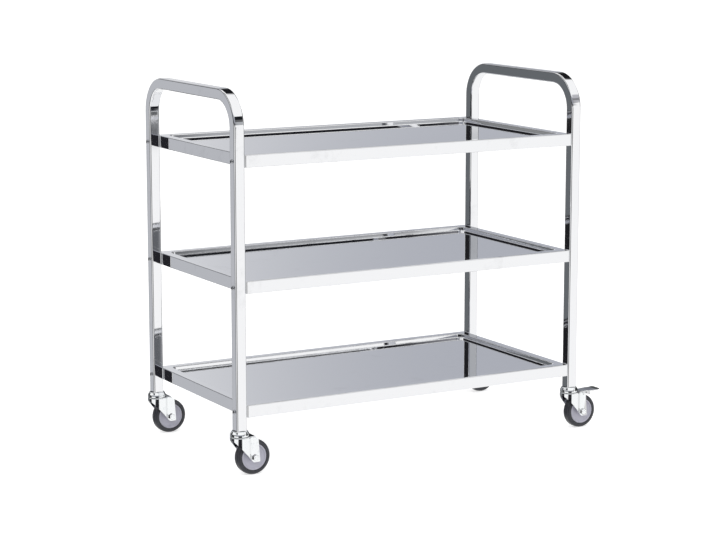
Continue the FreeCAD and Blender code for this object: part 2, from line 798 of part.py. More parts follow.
    def make_pedal(self):
        """The pressed pedal: a waisted plate with a lifted tip, on two cheeks that take the pin."""
        sheet_share = 0.87
        bend_share = 0.82
        lift_share = 0.1
        heel_share = 1.4
        flare_share = 1.25
        corner_share = 0.17
        drop_share = 0.55
        set_back_share = 5.0
        play_share = 2.0
        pin_x, pin_z = self.pin_place()
        sheet = s.fork_sheet * sheet_share
        under = crown_top - s.fork_sheet * drop_share
        top = under + sheet
        start = s.crown / 2 + s.side_gap * set_back_share
        bend_x = s.pedal_reach * bend_share
        lift = s.crown_drop * lift_share
        cheek = s.fork_foot / 2 - s.fork_sheet - s.side_gap * play_share
        heel = s.trail * heel_share
        flare = heel * flare_share
        half = s.pedal_width / 2
        wide = half + s.overrun
        body = new_body("Pedal")
        blade = sketch_on(body, "XZ_Plane", "Blade")
        polygon(blade, [
            (start, under), (bend_x, under), (s.pedal_reach, under + lift),
            (s.pedal_reach, top + lift), (bend_x, top), (start, top),
        ])
        pad(body, blade, s.pedal_width, both_ways=True)
        trim = sketch_on(body, "XY_Plane", "Blade_waist", lift=under - s.overrun)
        for sign in (-1, 1):
            polygon(trim, [
                (start - s.overrun, cheek * sign), (heel, cheek * sign), (flare, half * sign),
                (flare, wide * sign), (start - s.overrun, wide * sign),
            ])
        waist = pocket(body, trim, s.crown_drop, reverse=True)
        tip = s.pedal_reach.value
        fillet(body, waist, s.pedal_width * corner_share,
               lambda edge: close(edge.BoundBox.XMin, tip) and close(edge.BoundBox.YLength, 0))
        eye = s.pin
        sides = sketch_on(body, "XZ_Plane", "Cheeks")
        polygon(sides, [
            (start, under), (start, under - sheet), (pin_x - eye, pin_z - eye / 2),
            (pin_x - eye / 2, pin_z - eye), (pin_x + eye / 2, pin_z - eye),
            (pin_x + eye, pin_z - eye / 2), (heel, under - sheet), (heel, under),
        ])
        pad(body, sides, cheek * 2, both_ways=True)
        room = sketch_on(body, "XZ_Plane", "Between_cheeks")
        polygon(room, [
            (start - s.overrun, under), (start - s.overrun, s.wheel - s.overrun),
            (heel + s.overrun, s.wheel - s.overrun), (heel + s.overrun, under),
        ])
        pocket(body, room, (cheek - sheet) * 2, both_ways=True)
        hole = sketch_on(body, "XZ_Plane", "Pin_hole")
        circle(hole, (pin_x, pin_z), s.pin / 2 + s.fit_gap)
        pocket(body, hole, both_ways=True)
        self.keep(body, "brake_pedal")
        self.make_shoe(under)
        self.make_pin()

    def make_shoe(self, under):
        """The brake shoe: its flat face is a tangent of the tyre where the pressed pedal brings it."""
        near_share = 1.5
        far_share = 1.87
        width_share = 0.8
        touch_share = 0.5
        pin_x, pin_z = self.pin_place()
        dx = s.trail - pin_x
        dz = wheel_radius - pin_z
        cos_swing = cosine(s.brake_angle)
        sin_swing = sine(s.brake_angle)
        centre_x = pin_x + dx * cos_swing - dz * sin_swing
        centre_z = pin_z + dx * sin_swing + dz * cos_swing
        near = s.trail * near_share
        far = s.trail * far_share
        reach = (wheel_radius + s.side_gap * touch_share) / cosine(s.shoe_angle)
        slope = sine(s.shoe_angle) / cosine(s.shoe_angle)
        shoe = new_body("Shoe")
        block = sketch_on(shoe, "XZ_Plane", "Shoe_block")
        polygon(block, [
            (near, under), (near, centre_z + reach - (near - centre_x) * slope),
            (far, centre_z + reach - (far - centre_x) * slope), (far, under),
        ])
        pad(shoe, block, s.wheel_width * width_share, both_ways=True)
        self.keep(shoe, "brake_shoe")

    def make_pin(self):
        """The pedal's hinge pin, headed outside both cheeks of the fork."""
        head_share = 0.85
        crown_share = 0.7
        rise_share = 0.35
        head = s.pin * head_share
        crown = head * crown_share
        rise = s.pin * rise_share
        side = s.fork_foot / 2
        radius = s.pin / 2
        zero = self.zero
        rivet = new_body("Pin")
        shaft = sketch_on(rivet, "XY_Plane", "Pin_profile")
        polygon(shaft, [
            (zero, -side - rise), (crown, -side - rise), (head, -side), (radius, -side),
            (radius, side), (head, side), (crown, side + rise), (zero, side + rise),
        ])
        turn(rivet, shaft, "V_Axis")
        pin_x, pin_z = self.pin_place()
        self.keep(rivet, "pedal_pin", x=pin_x, z=pin_z)

    def make(self):
        """Every piece of the castor, and the pedal where it is braked."""
        self.make_socket()
        self.make_stem()
        self.make_cup()
        self.make_balls()
        self.make_fork()
        self.make_axle()
        self.make_wheel()
        if self.braked:
            self.make_pedal()


def check(doc):
    """Stop if any object failed or any sub-part's shape isn't sound."""
    doc.recompute()
    for item in doc.Objects:
        bad = [state for state in item.State if state in ("Invalid", "Error")]
        if bad:
            raise RuntimeError(f"{item.Name} ({item.Label}) is {bad}")
    for item in nodes:
        if item.Shape.isNull() or not item.Shape.isValid():
            raise RuntimeError(f"{item.Label} has no sound shape")


make_hoop("hoop_left", -1)
make_hoop("hoop_right", 1)
for tier in TIERS:
    make_tray(tier)
make_screws()
for corner, (along, across, braked) in CORNERS.items():
    Castor(corner, along, across, braked).make()
check(doc)

os.makedirs("parts", exist_ok=True)
for item in nodes:
    item.Shape.exportStep(f"parts/{item.Label}.step")
    print(item.Label, len(item.Shape.Solids), "solids", round(item.Shape.Volume, 1), "mm3")
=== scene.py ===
"""Dresses a three-tier serving trolley: bent square tube, pressed trays and four swivel castors."""
import logging
import math
from dataclasses import dataclass, field
from enum import Enum
from typing import Iterable, Sequence

import bmesh
import bpy
from mathutils import Matrix, Vector


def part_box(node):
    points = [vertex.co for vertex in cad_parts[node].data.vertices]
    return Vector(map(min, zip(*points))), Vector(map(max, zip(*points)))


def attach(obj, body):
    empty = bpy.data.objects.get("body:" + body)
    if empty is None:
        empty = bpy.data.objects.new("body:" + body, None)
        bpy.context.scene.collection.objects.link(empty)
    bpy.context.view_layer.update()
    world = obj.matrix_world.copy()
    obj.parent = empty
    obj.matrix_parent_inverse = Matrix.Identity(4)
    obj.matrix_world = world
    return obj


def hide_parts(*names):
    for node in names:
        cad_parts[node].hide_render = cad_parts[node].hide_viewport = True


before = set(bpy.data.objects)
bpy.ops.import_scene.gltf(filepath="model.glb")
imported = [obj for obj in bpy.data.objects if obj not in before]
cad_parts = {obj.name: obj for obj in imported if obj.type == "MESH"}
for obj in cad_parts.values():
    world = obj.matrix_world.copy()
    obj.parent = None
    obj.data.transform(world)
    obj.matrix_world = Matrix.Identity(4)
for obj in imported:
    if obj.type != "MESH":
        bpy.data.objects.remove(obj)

log = logging.getLogger("trolley")

MM = 0.001
MERGE = 0.002

Colour = tuple[float, float, float]
Source = bpy.types.NodeSocket | float | Colour
WHITE: Colour = (1.0, 1.0, 1.0)

X_AXIS = Vector((1.0, 0.0, 0.0))
Y_AXIS = Vector((0.0, 1.0, 0.0))
Z_AXIS = Vector((0.0, 0.0, 1.0))


class Tier(Enum):
    """The three trays, by height."""

    BOTTOM = "bottom"
    MIDDLE = "middle"
    TOP = "top"


class Corner(Enum):
    """The four castors, by the leg that carries them."""

    FRONT_LEFT = "front_left"
    BACK_LEFT = "back_left"
    FRONT_RIGHT = "front_right"
    BACK_RIGHT = "back_right"

    @property
    def braked(self) -> bool:
        """Whether this castor has a brake pedal."""
        return self in (Corner.FRONT_RIGHT, Corner.BACK_RIGHT)


class Effect(Enum):
    """Surface effects that several finishes share."""

    SMUDGES = "Smudges"
    GRAIN = "Grain"
    EDGE_WEAR = "Edge wear"
    DUST = "Dust"


# Meshes, in millimetres of the shared frame until a piece is finished


@dataclass(frozen=True)
class Turn:
    """One corner of an outline, with the reach of its rounding along the edges beside it."""

    x: float
    y: float
    reach: float = 0.0


def extent(node: str) -> tuple[Vector, Vector]:
    """Gives the lowest and highest corner of a CAD node.

    Args:
        node: Name of the CAD node.

    Returns:
        The two corners, in millimetres.
    """
    low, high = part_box(node)
    return Vector(low) / MM, Vector(high) / MM


def once(items: Iterable) -> list:
    """Lists items in their order, each of them once."""
    return list(dict.fromkeys(items))


def round_off(
    bm: bmesh.types.BMesh, geom: Sequence[bmesh.types.BMVert | bmesh.types.BMEdge], reach: float,
    steps: int, affect: str = "EDGES",
) -> None:
    """Rounds edges or corners.

    Args:
        bm: Mesh that holds them.
        geom: The edges or vertices.
        reach: How far the rounding reaches along the faces beside it.
        steps: Rows of faces in the rounding.
        affect: Whether it rounds EDGES or VERTICES.
    """
    bmesh.ops.bevel(
        bm, geom=geom, offset=reach, offset_type="OFFSET", segments=steps, profile=0.5, affect=affect,
        material=-1,
    )


def rounded(outline: Sequence[Turn], closed: bool, steps: int = 5) -> list[tuple[float, float]]:
    """Rounds the corners of an outline.

    Args:
        outline: Corners in order.
        closed: Whether the last corner joins the first.
        steps: Edges in each rounded corner.

    Returns:
        The points of the rounded outline, in order from the first corner.
    """
    bm = bmesh.new()
    corners = [bm.verts.new((turn.x, turn.y, 0.0)) for turn in outline]
    ends = corners[1:] + corners[:1] if closed else corners[1:]
    for start, end in zip(corners, ends):
        bm.edges.new((start, end))
    for corner, turn in zip(corners, outline):
        if turn.reach > 0.0:
            round_off(bm, [corner], turn.reach, steps, "VERTICES")
    first = Vector((outline[0].x, outline[0].y, 0.0))
    here = min(bm.verts, key=lambda vert: (vert.co - first).length)
    aim = Vector((outline[1].x, outline[1].y, 0.0)) - first
    points = [here.co.xy[:]]
    seen = {here}
    onward = sorted(here.link_edges, key=lambda edge: -(edge.other_vert(here).co - first).dot(aim))
    following = onward[0].other_vert(here)
    while following is not None:
        here = following
        seen.add(here)
        points.append(here.co.xy[:])
        fresh = [edge.other_vert(here) for edge in here.link_edges if edge.other_vert(here) not in seen]
        following = fresh[0] if fresh else None
    bm.free()
    return points


def both_sides(outline: Iterable[Turn]) -> list[Turn]:
    """Adds an outline's mirror image across its radius line.

    Args:
        outline: Corners of one half, in order.

    Returns:
        The corners of both halves.
    """
    half = list(outline)
    return half + [Turn(turn.x, -turn.y, turn.reach) for turn in reversed(half)]


def turn_solid(
    bm: bmesh.types.BMesh, outline: Sequence[Turn], centre: Vector, along: Vector,
    closed: bool = True, steps: int = 64,
) -> list[bmesh.types.BMVert]:
    """Turns an outline of radius and height once round an axis.

    Args:
        bm: Mesh to add to.
        outline: Corners with the radius as x and the height along the axis as y.
        centre: A point of the axis.
        along: Direction of the axis.
        closed: Whether the outline is a closed section; otherwise its ends lie on the axis.
        steps: Faces round the axis.

    Returns:
        The new vertices.
    """
    before = set(bm.verts)
    out = along.orthogonal().normalized()
    spots = [centre + out * radius + along * rise for radius, rise in rounded(outline, closed)]
    section = [bm.verts.new(spot) for spot in spots]
    ends = section[1:] + section[:1] if closed else section[1:]
    edges = [bm.edges.new(pair) for pair in zip(section, ends)]
    bmesh.ops.spin(
        bm, geom=section + edges, cent=centre, axis=along, angle=2 * math.pi, steps=steps, use_merge=True,
    )
    fresh = [vert for vert in bm.verts if vert not in before]
    bmesh.ops.remove_doubles(bm, verts=fresh, dist=MERGE)
    return [vert for vert in bm.verts if vert not in before]


def round_loop(
    bm: bmesh.types.BMesh, centre: Vector, half_x: float, half_y: float, radius: float, steps: int = 6,
) -> list[bmesh.types.BMEdge]:
    """Makes the level outline of a rectangle with round corners.

    Args:
        bm: Mesh to add to.
        centre: Middle of the rectangle.
        half_x: Half its length.
        half_y: Half its width.
        radius: Radius of its corners.
        steps: Edges in each corner.

    Returns:
        The edges of the loop.
    """
    before = set(bm.edges)
    verts = bmesh.ops.create_grid(bm, x_segments=1, y_segments=1, size=1.0)["verts"]
    bmesh.ops.scale(bm, vec=(half_x, half_y, 1.0), verts=verts)
    bmesh.ops.translate(bm, vec=centre, verts=verts)
    round_off(bm, verts, radius, steps, "VERTICES")
    loop = [edge for edge in bm.edges if edge not in before]
    bmesh.ops.delete(bm, geom=[loop[0].link_faces[0]], context="FACES_ONLY")
    return loop


def stretch(
    bm: bmesh.types.BMesh, loop: Sequence[bmesh.types.BMEdge], way: Vector,
) -> list[bmesh.types.BMEdge]:
    """Draws a loop of edges out into a straight wall.

    Args:
        bm: Mesh that holds the loop.
        loop: Edges to draw out.
        way: How far and where to.

    Returns:
        The loop at the far end.
    """
    geom = bmesh.ops.extrude_edge_only(bm, edges=list(loop))["geom"]
    verts = [item for item in geom if isinstance(item, bmesh.types.BMVert)]
    bmesh.ops.translate(bm, vec=way, verts=verts)
    return [item for item in geom if isinstance(item, bmesh.types.BMEdge) and len(item.link_faces) == 1]


def bend(
    bm: bmesh.types.BMesh, loop: Sequence[bmesh.types.BMEdge], centre: Vector, axis: Vector,
    angle: float, steps: int,
) -> list[bmesh.types.BMEdge]:
    """Draws a loop of edges out round an axis.

    Args:
        bm: Mesh that holds the loop.
        loop: Edges to draw out.
        centre: A point of the axis.
        axis: Direction of the axis.
        angle: How far to turn, in radians.
        steps: Rows of faces along the bend.

    Returns:
        The loop at the far end.
    """
    verts = once(vert for edge in loop for vert in edge.verts)
    last = bmesh.ops.spin(
        bm, geom=verts + list(loop), cent=centre, axis=axis, angle=angle, steps=steps,
    )["geom_last"]
    return [item for item in last if isinstance(item, bmesh.types.BMEdge)]


def hexagon(
    bm: bmesh.types.BMesh, centre: Vector, along: Vector, across: float, depth: float, chamfer: float,
) -> None:
    """Adds a hexagonal head or nut.

    Args:
        bm: Mesh to add to.
        centre: Middle of its seat.
        along: Direction in which it stands up.
        across: Width across its flats.
        depth: Its height.
        chamfer: Rounding of its upper edges.
    """
    turn = Z_AXIS.rotation_difference(along).to_matrix().to_4x4()
    corner = across / math.sqrt(3.0)
    verts = bmesh.ops.create_cone(
        bm, cap_ends=True, cap_tris=False, segments=6, radius1=corner, radius2=corner, depth=depth,
        matrix=Matrix.Translation(centre + along * (depth / 2)) @ turn,
    )["verts"]
    top = [vert for vert in verts if (vert.co - centre).dot(along) > depth / 2]
    edges = [edge for edge in bm.edges if edge.verts[0] in top and edge.verts[1] in top]
    round_off(bm, edges, chamfer, 3)


def face_outwards(bm: bmesh.types.BMesh) -> None:
    """Turns every face outwards: the highest face of any piece looks up.

    Args:
        bm: Mesh of one piece.
    """
    bmesh.ops.recalc_face_normals(bm, faces=bm.faces[:])
    highest = max(bm.faces, key=lambda face: face.calc_center_median().z)
    if highest.normal.z < 0.0:
        bmesh.ops.reverse_faces(bm, faces=bm.faces[:])


@dataclass
class Piece:
    """One shaped piece of the trolley and what it stands for."""

    name: str
    body: str
    slot: str
    nodes: tuple[str, ...]
    looks: tuple[bpy.types.Material, ...]
    sheet: float = 0.0
    edge_round: float = 0.0
    crease: float = 38.0

    def finish(self, bm: bmesh.types.BMesh) -> bpy.types.Object:
        """Makes the object from its mesh and joins it to its body.

        Args:
            bm: The shape in millimetres; it is used up.

        Returns:
            The finished object.
        """
        face_outwards(bm)
        bmesh.ops.scale(bm, vec=(MM, MM, MM), verts=bm.verts[:])
        mesh = bpy.data.meshes.new(self.name)
        bm.to_mesh(mesh)
        bm.free()
        mesh.polygons.foreach_set("use_smooth", [True] * len(mesh.polygons))
        mesh.set_sharp_from_angle(angle=math.radians(self.crease))
        for look in self.looks:
            mesh.materials.append(look)
        piece = bpy.data.objects.new(self.name, mesh)
        bpy.context.scene.collection.objects.link(piece)
        if self.sheet > 0.0:
            wall = piece.modifiers.new("Sheet", "SOLIDIFY")
            wall.thickness = self.sheet * MM
            wall.offset = -1.0
            wall.use_even_offset = True
        if self.edge_round > 0.0:
            softened = piece.modifiers.new("Edge rounding", "BEVEL")
            softened.width = self.edge_round * MM
            softened.segments = 3
            softened.limit_method = "ANGLE"
            softened.angle_limit = math.radians(self.crease)
        shade = piece.modifiers.new("Flat faces", "WEIGHTED_NORMAL")
        shade.keep_sharp = True
        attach(piece, self.body)
        if self.nodes:
            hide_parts(*self.nodes)
        log.info("%s rides on %s with %d faces", self.name, self.body, len(mesh.polygons))
        return piece


# Materials


@dataclass
class Wiring:
    """A node tree, with short ways to add and join its nodes."""

    tree: bpy.types.NodeTree

    def add(self, kind: str, **settings: object) -> bpy.types.Node:
        """Adds a node.

        Args:
            kind: Type of the node.
            **settings: The node's own settings.

        Returns:
            The new node.
        """
        node = self.tree.nodes.new(kind)
        for key, value in settings.items():
            setattr(node, key, value)
        return node

    def join(self, value: Source, socket: bpy.types.NodeSocket) -> None:
        """Feeds an input from a socket, or sets it to a number or a colour.

        Args:
            value: The socket, number or colour.
            socket: The input.
        """
        if isinstance(value, bpy.types.NodeSocket):
            self.tree.links.new(value, socket)
        else:
            socket.default_value = (*value, 1.0) if isinstance(value, tuple) else value

    def combine(self, operation: str, first: Source, second: Source) -> bpy.types.NodeSocket:
        """Works out a value from two others.

        Args:
            operation: What is done with them.
            first: The first value.
            second: The second value.

        Returns:
            The result.
        """
        node = self.add("ShaderNodeMath", operation=operation)
        self.join(first, node.inputs[0])
        self.join(second, node.inputs[1])
        return node.outputs[0]

    def noise(
        self, place: Source, scale: Source, detail: float, roughness: float = 0.5,
    ) -> bpy.types.NodeSocket:
        """Adds a noise.

        Args:
            place: Where it is read.
            scale: How fine it is.
            detail: How many finer layers it has.
            roughness: How strong the finer layers are.

        Returns:
            Its value.
        """
        node = self.add("ShaderNodeTexNoise")
        self.join(place, node.inputs["Vector"])
        self.join(scale, node.inputs["Scale"])
        self.join(detail, node.inputs["Detail"])
        self.join(roughness, node.inputs["Roughness"])
        return node.outputs["Fac"]

    def step(self, value: Source, low: Source, high: Source) -> bpy.types.NodeSocket:
        """Adds a smooth step.

        Args:
            value: What it is worked out from.
            low: Value at which the step is zero.
            high: Value at which it is one.

        Returns:
            The step.
        """
        node = self.add("ShaderNodeMapRange", interpolation_type="SMOOTHSTEP")
        for name, source in (("Value", value), ("From Min", low), ("From Max", high)):
            self.join(source, node.inputs[name])
        return node.outputs["Result"]

    def between(self, mask: Source, low: float, high: float) -> bpy.types.NodeSocket:
        """Spreads a mask of zero to one between two values.

        Args:
            mask: The mask.
            low: Value where it is zero.
            high: Value where it is one.

        Returns:
            The spread value.
        """
        node = self.add("ShaderNodeMapRange")
        for name, source in (("Value", mask), ("To Min", low), ("To Max", high)):
            self.join(source, node.inputs[name])
        return node.outputs["Result"]

    def blend(self, mask: Source, base: Source, over: Source) -> bpy.types.NodeSocket:
        """Lays one colour over another where a mask says.

        Args:
            mask: Where the upper colour shows.
            base: The lower colour.
            over: The upper colour.

        Returns:
            The mixed colour.
        """
        node = self.add("ShaderNodeMix", data_type="RGBA")
        for index, source in ((0, mask), (6, base), (7, over)):
            self.join(source, node.inputs[index])
        return node.outputs[2]


@dataclass
class Effects:
    """Builds each shared effect once, when it is first asked for."""

    made: dict[Effect, bpy.types.NodeTree] = field(default_factory=dict)

    def get(self, effect: Effect) -> bpy.types.NodeTree:
        """Gives the node group of an effect.

        Args:
            effect: Which effect.

        Returns:
            Its group, built on the first call.
        """
        if effect not in self.made:
            makers = {
                Effect.SMUDGES: self.smudges,
                Effect.GRAIN: self.grain,
                Effect.EDGE_WEAR: self.edge_wear,
                Effect.DUST: self.dust,
            }
            tree = bpy.data.node_groups.new(effect.value, "ShaderNodeTree")
            wires = Wiring(tree)
            result = makers[effect](wires)
            output = "Height" if effect is Effect.GRAIN else "Mask"
            tree.interface.new_socket(output, in_out="OUTPUT", socket_type="NodeSocketFloat")
            wires.join(result, wires.add("NodeGroupOutput").inputs[0])
            self.made[effect] = tree
        return self.made[effect]

    @staticmethod
    def inputs(wires: Wiring, **values: float) -> list[bpy.types.NodeSocket]:
        """Gives a group its place on the surface and its number inputs.

        Args:
            wires: The group's nodes.
            **values: Names and starting values of the numbers, with underscores for spaces.

        Returns:
            The sockets that carry the place and the numbers.
        """
        interface = wires.tree.interface
        interface.new_socket("Place", in_out="INPUT", socket_type="NodeSocketVector")
        for name, value in values.items():
            socket = interface.new_socket(
                name.replace("_", " "), in_out="INPUT", socket_type="NodeSocketFloat",
            )
            socket.default_value = value
        return list(wires.add("NodeGroupInput").outputs)[:len(values) + 1]

    def smudges(self, wires: Wiring) -> bpy.types.NodeSocket:
        """Makes soft blotches where hands and cloths have been, at two sizes.

        Args:
            wires: The group's nodes.

        Returns:
            The mask.
        """
        place, scale, cover = self.inputs(wires, Scale=9.0, Cover=0.5)
        broad = wires.noise(place, scale, 3.0, 0.55)
        fine = wires.noise(place, wires.combine("MULTIPLY", scale, 6.0), 4.0, 0.6)
        both = wires.combine(
            "ADD", wires.combine("MULTIPLY", broad, 0.7), wires.combine("MULTIPLY", fine, 0.3),
        )
        low = wires.combine("SUBTRACT", 0.72, wires.combine("MULTIPLY", cover, 0.35))
        return wires.step(both, low, wires.combine("ADD", low, 0.14))

    def grain(self, wires: Wiring) -> bpy.types.NodeSocket:
        """Makes fine lines drawn out along one direction by polishing.

        Args:
            wires: The group's nodes.

        Returns:
            The height.
        """
        place, *along = self.inputs(wires, Along_x=8.0, Along_y=8.0, Along_z=8.0)
        finer = wires.add("ShaderNodeCombineXYZ")
        for source, socket in zip(along, finer.inputs):
            wires.join(source, socket)
        drawn = wires.add("ShaderNodeVectorMath", operation="MULTIPLY")
        wires.join(place, drawn.inputs[0])
        wires.join(finer.outputs[0], drawn.inputs[1])
        return wires.noise(drawn.outputs[0], 1.0, 2.0, 0.7)

    def edge_wear(self, wires: Wiring) -> bpy.types.NodeSocket:
        """Makes rubbed places along outer edges, broken up by noise.

        Args:
            wires: The group's nodes.

        Returns:
            The mask.
        """
        place, reach, scale = self.inputs(wires, Reach=0.5, Scale=120.0)
        sharp = wires.add("ShaderNodeNewGeometry").outputs["Pointiness"]
        broken = wires.combine("SUBTRACT", wires.noise(place, scale, 3.0), 0.5)
        edge = wires.combine("ADD", sharp, wires.combine("MULTIPLY", broken, 0.06))
        low = wires.combine("SUBTRACT", 0.56, wires.combine("MULTIPLY", reach, 0.05))
        return wires.step(edge, low, wires.combine("ADD", low, 0.05))

    def dust(self, wires: Wiring) -> bpy.types.NodeSocket:
        """Makes dust that lies in patches, thicker on faces that look up.

        Args:
            wires: The group's nodes.

        Returns:
            The mask.
        """
        place, scale, amount = self.inputs(wires, Scale=60.0, Amount=0.3)
        split = wires.add("ShaderNodeSeparateXYZ")
        wires.join(wires.add("ShaderNodeNewGeometry").outputs["Normal"], split.inputs[0])
        upward = wires.step(split.outputs[2], -0.6, 1.0)
        patches = wires.step(wires.noise(place, scale, 5.0, 0.65), 0.42, 0.72)
        return wires.combine("MULTIPLY", wires.combine("MULTIPLY", upward, patches), amount)


class Graph(Wiring):
    """The nodes of one material round its shader."""

    def __init__(self, name: str, effects: Effects) -> None:
        """Starts the material.

        Args:
            name: Name of the material.
            effects: The shared effects.
        """
        self.material = bpy.data.materials.new(name)
        self.material.use_nodes = True
        super().__init__(self.material.node_tree)
        self.effects = effects
        self.shader = self.tree.nodes["Principled BSDF"]
        self.spot = self.add("ShaderNodeTexCoord").outputs["Object"]

    def feed(self, target: str, value: Source) -> None:
        """Gives one of the shader's inputs its value."""
        self.join(value, self.shader.inputs[target])

    def effect(self, effect: Effect, **inputs: float) -> bpy.types.NodeSocket:
        """Places a shared effect over the surface.

        Args:
            effect: Which effect.
            **inputs: Values of its inputs, in small letters, with underscores for spaces.

        Returns:
            The effect's output.
        """
        node = self.add("ShaderNodeGroup", node_tree=self.effects.get(effect))
        self.join(self.spot, node.inputs["Place"])
        for key, value in inputs.items():
            self.join(value, node.inputs[key.replace("_", " ").capitalize()])
        return node.outputs[0]

    def relief(
        self, height: bpy.types.NodeSocket, depth: float, under: bpy.types.NodeSocket | None = None,
    ) -> bpy.types.NodeSocket:
        """Turns a height into a bumped normal.

        Args:
            height: Height over the surface, zero to one.
            depth: Real depth of the relief, in millimetres.
            under: Normal that it lies on.

        Returns:
            The bumped normal.
        """
        node = self.add("ShaderNodeBump")
        self.join(depth * MM, node.inputs["Distance"])
        self.join(height, node.inputs["Height"])
        if under is not None:
            self.join(under, node.inputs["Normal"])
        return node.outputs["Normal"]

    def grained(self, along: tuple[float, float, float], depth: float) -> bpy.types.NodeSocket:
        """Gives the normal of a fine grain.

        Args:
            along: How fine it is along x, y and z, in steps to the metre.
            depth: Real depth of the grain, in millimetres.

        Returns:
            The bumped normal.
        """
        height = self.effect(Effect.GRAIN, along_x=along[0], along_y=along[1], along_z=along[2])
        return self.relief(height, depth)


@dataclass(frozen=True)
class Finish:
    """A finish of the trolley, which becomes one material."""

    name: str

    def material(self, effects: Effects) -> bpy.types.Material:
        """Makes the material.

        Args:
            effects: The shared effects.

        Returns:
            The new material.
        """
        graph = Graph(self.name, effects)
        self.dress(graph)
        return graph.material

    def dress(self, graph: Graph) -> None:
        """Lays the finish on its shader; every finish has its own way."""
        raise NotImplementedError


@dataclass(frozen=True)
class MirrorSteel(Finish):
    """Stainless steel polished to a mirror, with faint handling marks and a slightly uneven face."""

    tint: Colour = (0.90, 0.905, 0.92)
    hazed: Colour = (0.84, 0.845, 0.86)
    roughness: float = 0.035
    haze: float = 0.075
    marks: float = 11.0
    unevenness: float = 0.05
    uneven_scale: float = 7.0
    grain: tuple[float, float, float] = (900.0, 900.0, 12.0)
    grain_depth: float = 0.0006

    def dress(self, graph: Graph) -> None:
        """Lays handling marks, polishing lines and a slow swell on bright metal.

        Args:
            graph: The material's nodes.
        """
        graph.feed("Metallic", 1.0)
        marked = graph.effect(Effect.SMUDGES, scale=self.marks, cover=0.45)
        graph.feed("Base Color", graph.blend(marked, self.tint, self.hazed))
        graph.feed("Roughness", graph.between(marked, self.roughness, self.haze))
        swell = graph.noise(graph.spot, self.uneven_scale, 1.0)
        lines = graph.grained(self.grain, self.grain_depth)
        graph.feed("Normal", graph.relief(swell, self.unevenness, lines))


@dataclass(frozen=True)
class ZincPlate(Finish):
    """Pressed steel with a bright zinc coat, mottled and rubbed along its edges."""

    tint: Colour = (0.93, 0.95, 0.96)
    mottle: Colour = (0.86, 0.885, 0.905)
    worn: Colour = (0.68, 0.68, 0.69)
    grazing: Colour = (0.22, 0.23, 0.24)
    roughness: float = 0.09
    rough_patch: float = 0.18
    pits: tuple[float, float, float] = (1400.0, 1400.0, 1400.0)
    pit_depth: float = 0.004

    def dress(self, graph: Graph) -> None:
        """Lays clouds, rubbed edges and fine pits on bright metal.

        Args:
            graph: The material's nodes.
        """
        graph.feed("Metallic", 1.0)
        graph.feed("Specular Tint", self.grazing)
        clouds = graph.effect(Effect.SMUDGES, scale=70.0, cover=0.5)
        rubbed = graph.effect(Effect.EDGE_WEAR, reach=0.4, scale=300.0)
        coat = graph.blend(clouds, self.tint, self.mottle)
        graph.feed("Base Color", graph.blend(rubbed, coat, self.worn))
        graph.feed("Roughness", graph.between(clouds, self.roughness, self.rough_patch))
        graph.feed("Normal", graph.grained(self.pits, self.pit_depth))


@dataclass(frozen=True)
class PlainSteel(Finish):
    """Uncoated or oiled steel of inner pieces and fasteners."""

    tint: Colour = (0.55, 0.55, 0.56)
    stain: Colour = (0.36, 0.35, 0.34)
    roughness: float = 0.3
    stained_more: float = 0.18
    lathe: tuple[float, float, float] = (500.0, 500.0, 3500.0)
    lathe_depth: float = 0.006

    def dress(self, graph: Graph) -> None:
        """Lays stains and turning lines on dull metal.

        Args:
            graph: The material's nodes.
        """
        graph.feed("Metallic", 1.0)
        stains = graph.effect(Effect.SMUDGES, scale=140.0, cover=0.6)
        graph.feed("Base Color", graph.blend(stains, self.tint, self.stain))
        graph.feed("Roughness", graph.between(stains, self.roughness, self.roughness + self.stained_more))
        graph.feed("Normal", graph.grained(self.lathe, self.lathe_depth))


@dataclass(frozen=True)
class MouldedRubber(Finish):
    """Grey tread rubber with a faint bloom and dust on its upper side."""

    tint: Colour = (0.030, 0.031, 0.040)
    bloom: Colour = (0.062, 0.063, 0.078)
    dust: Colour = (0.20, 0.195, 0.20)
    smooth: float = 0.30
    rough: float = 0.46
    skin: tuple[float, float, float] = (2200.0, 2200.0, 2200.0)
    skin_depth: float = 0.02

    def dress(self, graph: Graph) -> None:
        """Lays bloom, dust and a moulded skin on the rubber.

        Args:
            graph: The material's nodes.
        """
        graph.feed("Specular IOR Level", 0.5)
        patches = graph.effect(Effect.SMUDGES, scale=55.0, cover=0.55)
        dusty = graph.effect(Effect.DUST, scale=220.0, amount=0.25)
        bloomed = graph.blend(patches, self.tint, self.bloom)
        graph.feed("Base Color", graph.blend(dusty, bloomed, self.dust))
        graph.feed("Roughness", graph.between(patches, self.smooth, self.rough))
        graph.feed("Normal", graph.grained(self.skin, self.skin_depth))


@dataclass(frozen=True)
class MouldedNylon(Finish):
    """Lilac-grey moulded plastic of the wheel centres, satin with fine scuffs."""

    tint: Colour = (0.55, 0.545, 0.63)
    shade: Colour = (0.46, 0.46, 0.54)
    scuff: Colour = (0.66, 0.66, 0.72)
    smooth: float = 0.34
    rough: float = 0.5
    skin: tuple[float, float, float] = (1800.0, 1800.0, 1800.0)
    skin_depth: float = 0.01

    def dress(self, graph: Graph) -> None:
        """Lays flow patches, scuffed edges and a moulded skin on the plastic.

        Args:
            graph: The material's nodes.
        """
        graph.feed("Specular IOR Level", 0.45)
        flow = graph.effect(Effect.SMUDGES, scale=45.0, cover=0.5)
        rubbed = graph.effect(Effect.EDGE_WEAR, reach=0.5, scale=400.0)
        graph.feed("Base Color", graph.blend(rubbed, graph.blend(flow, self.tint, self.shade), self.scuff))
        graph.feed("Roughness", graph.between(flow, self.smooth, self.rough))
        graph.feed("Normal", graph.grained(self.skin, self.skin_depth))


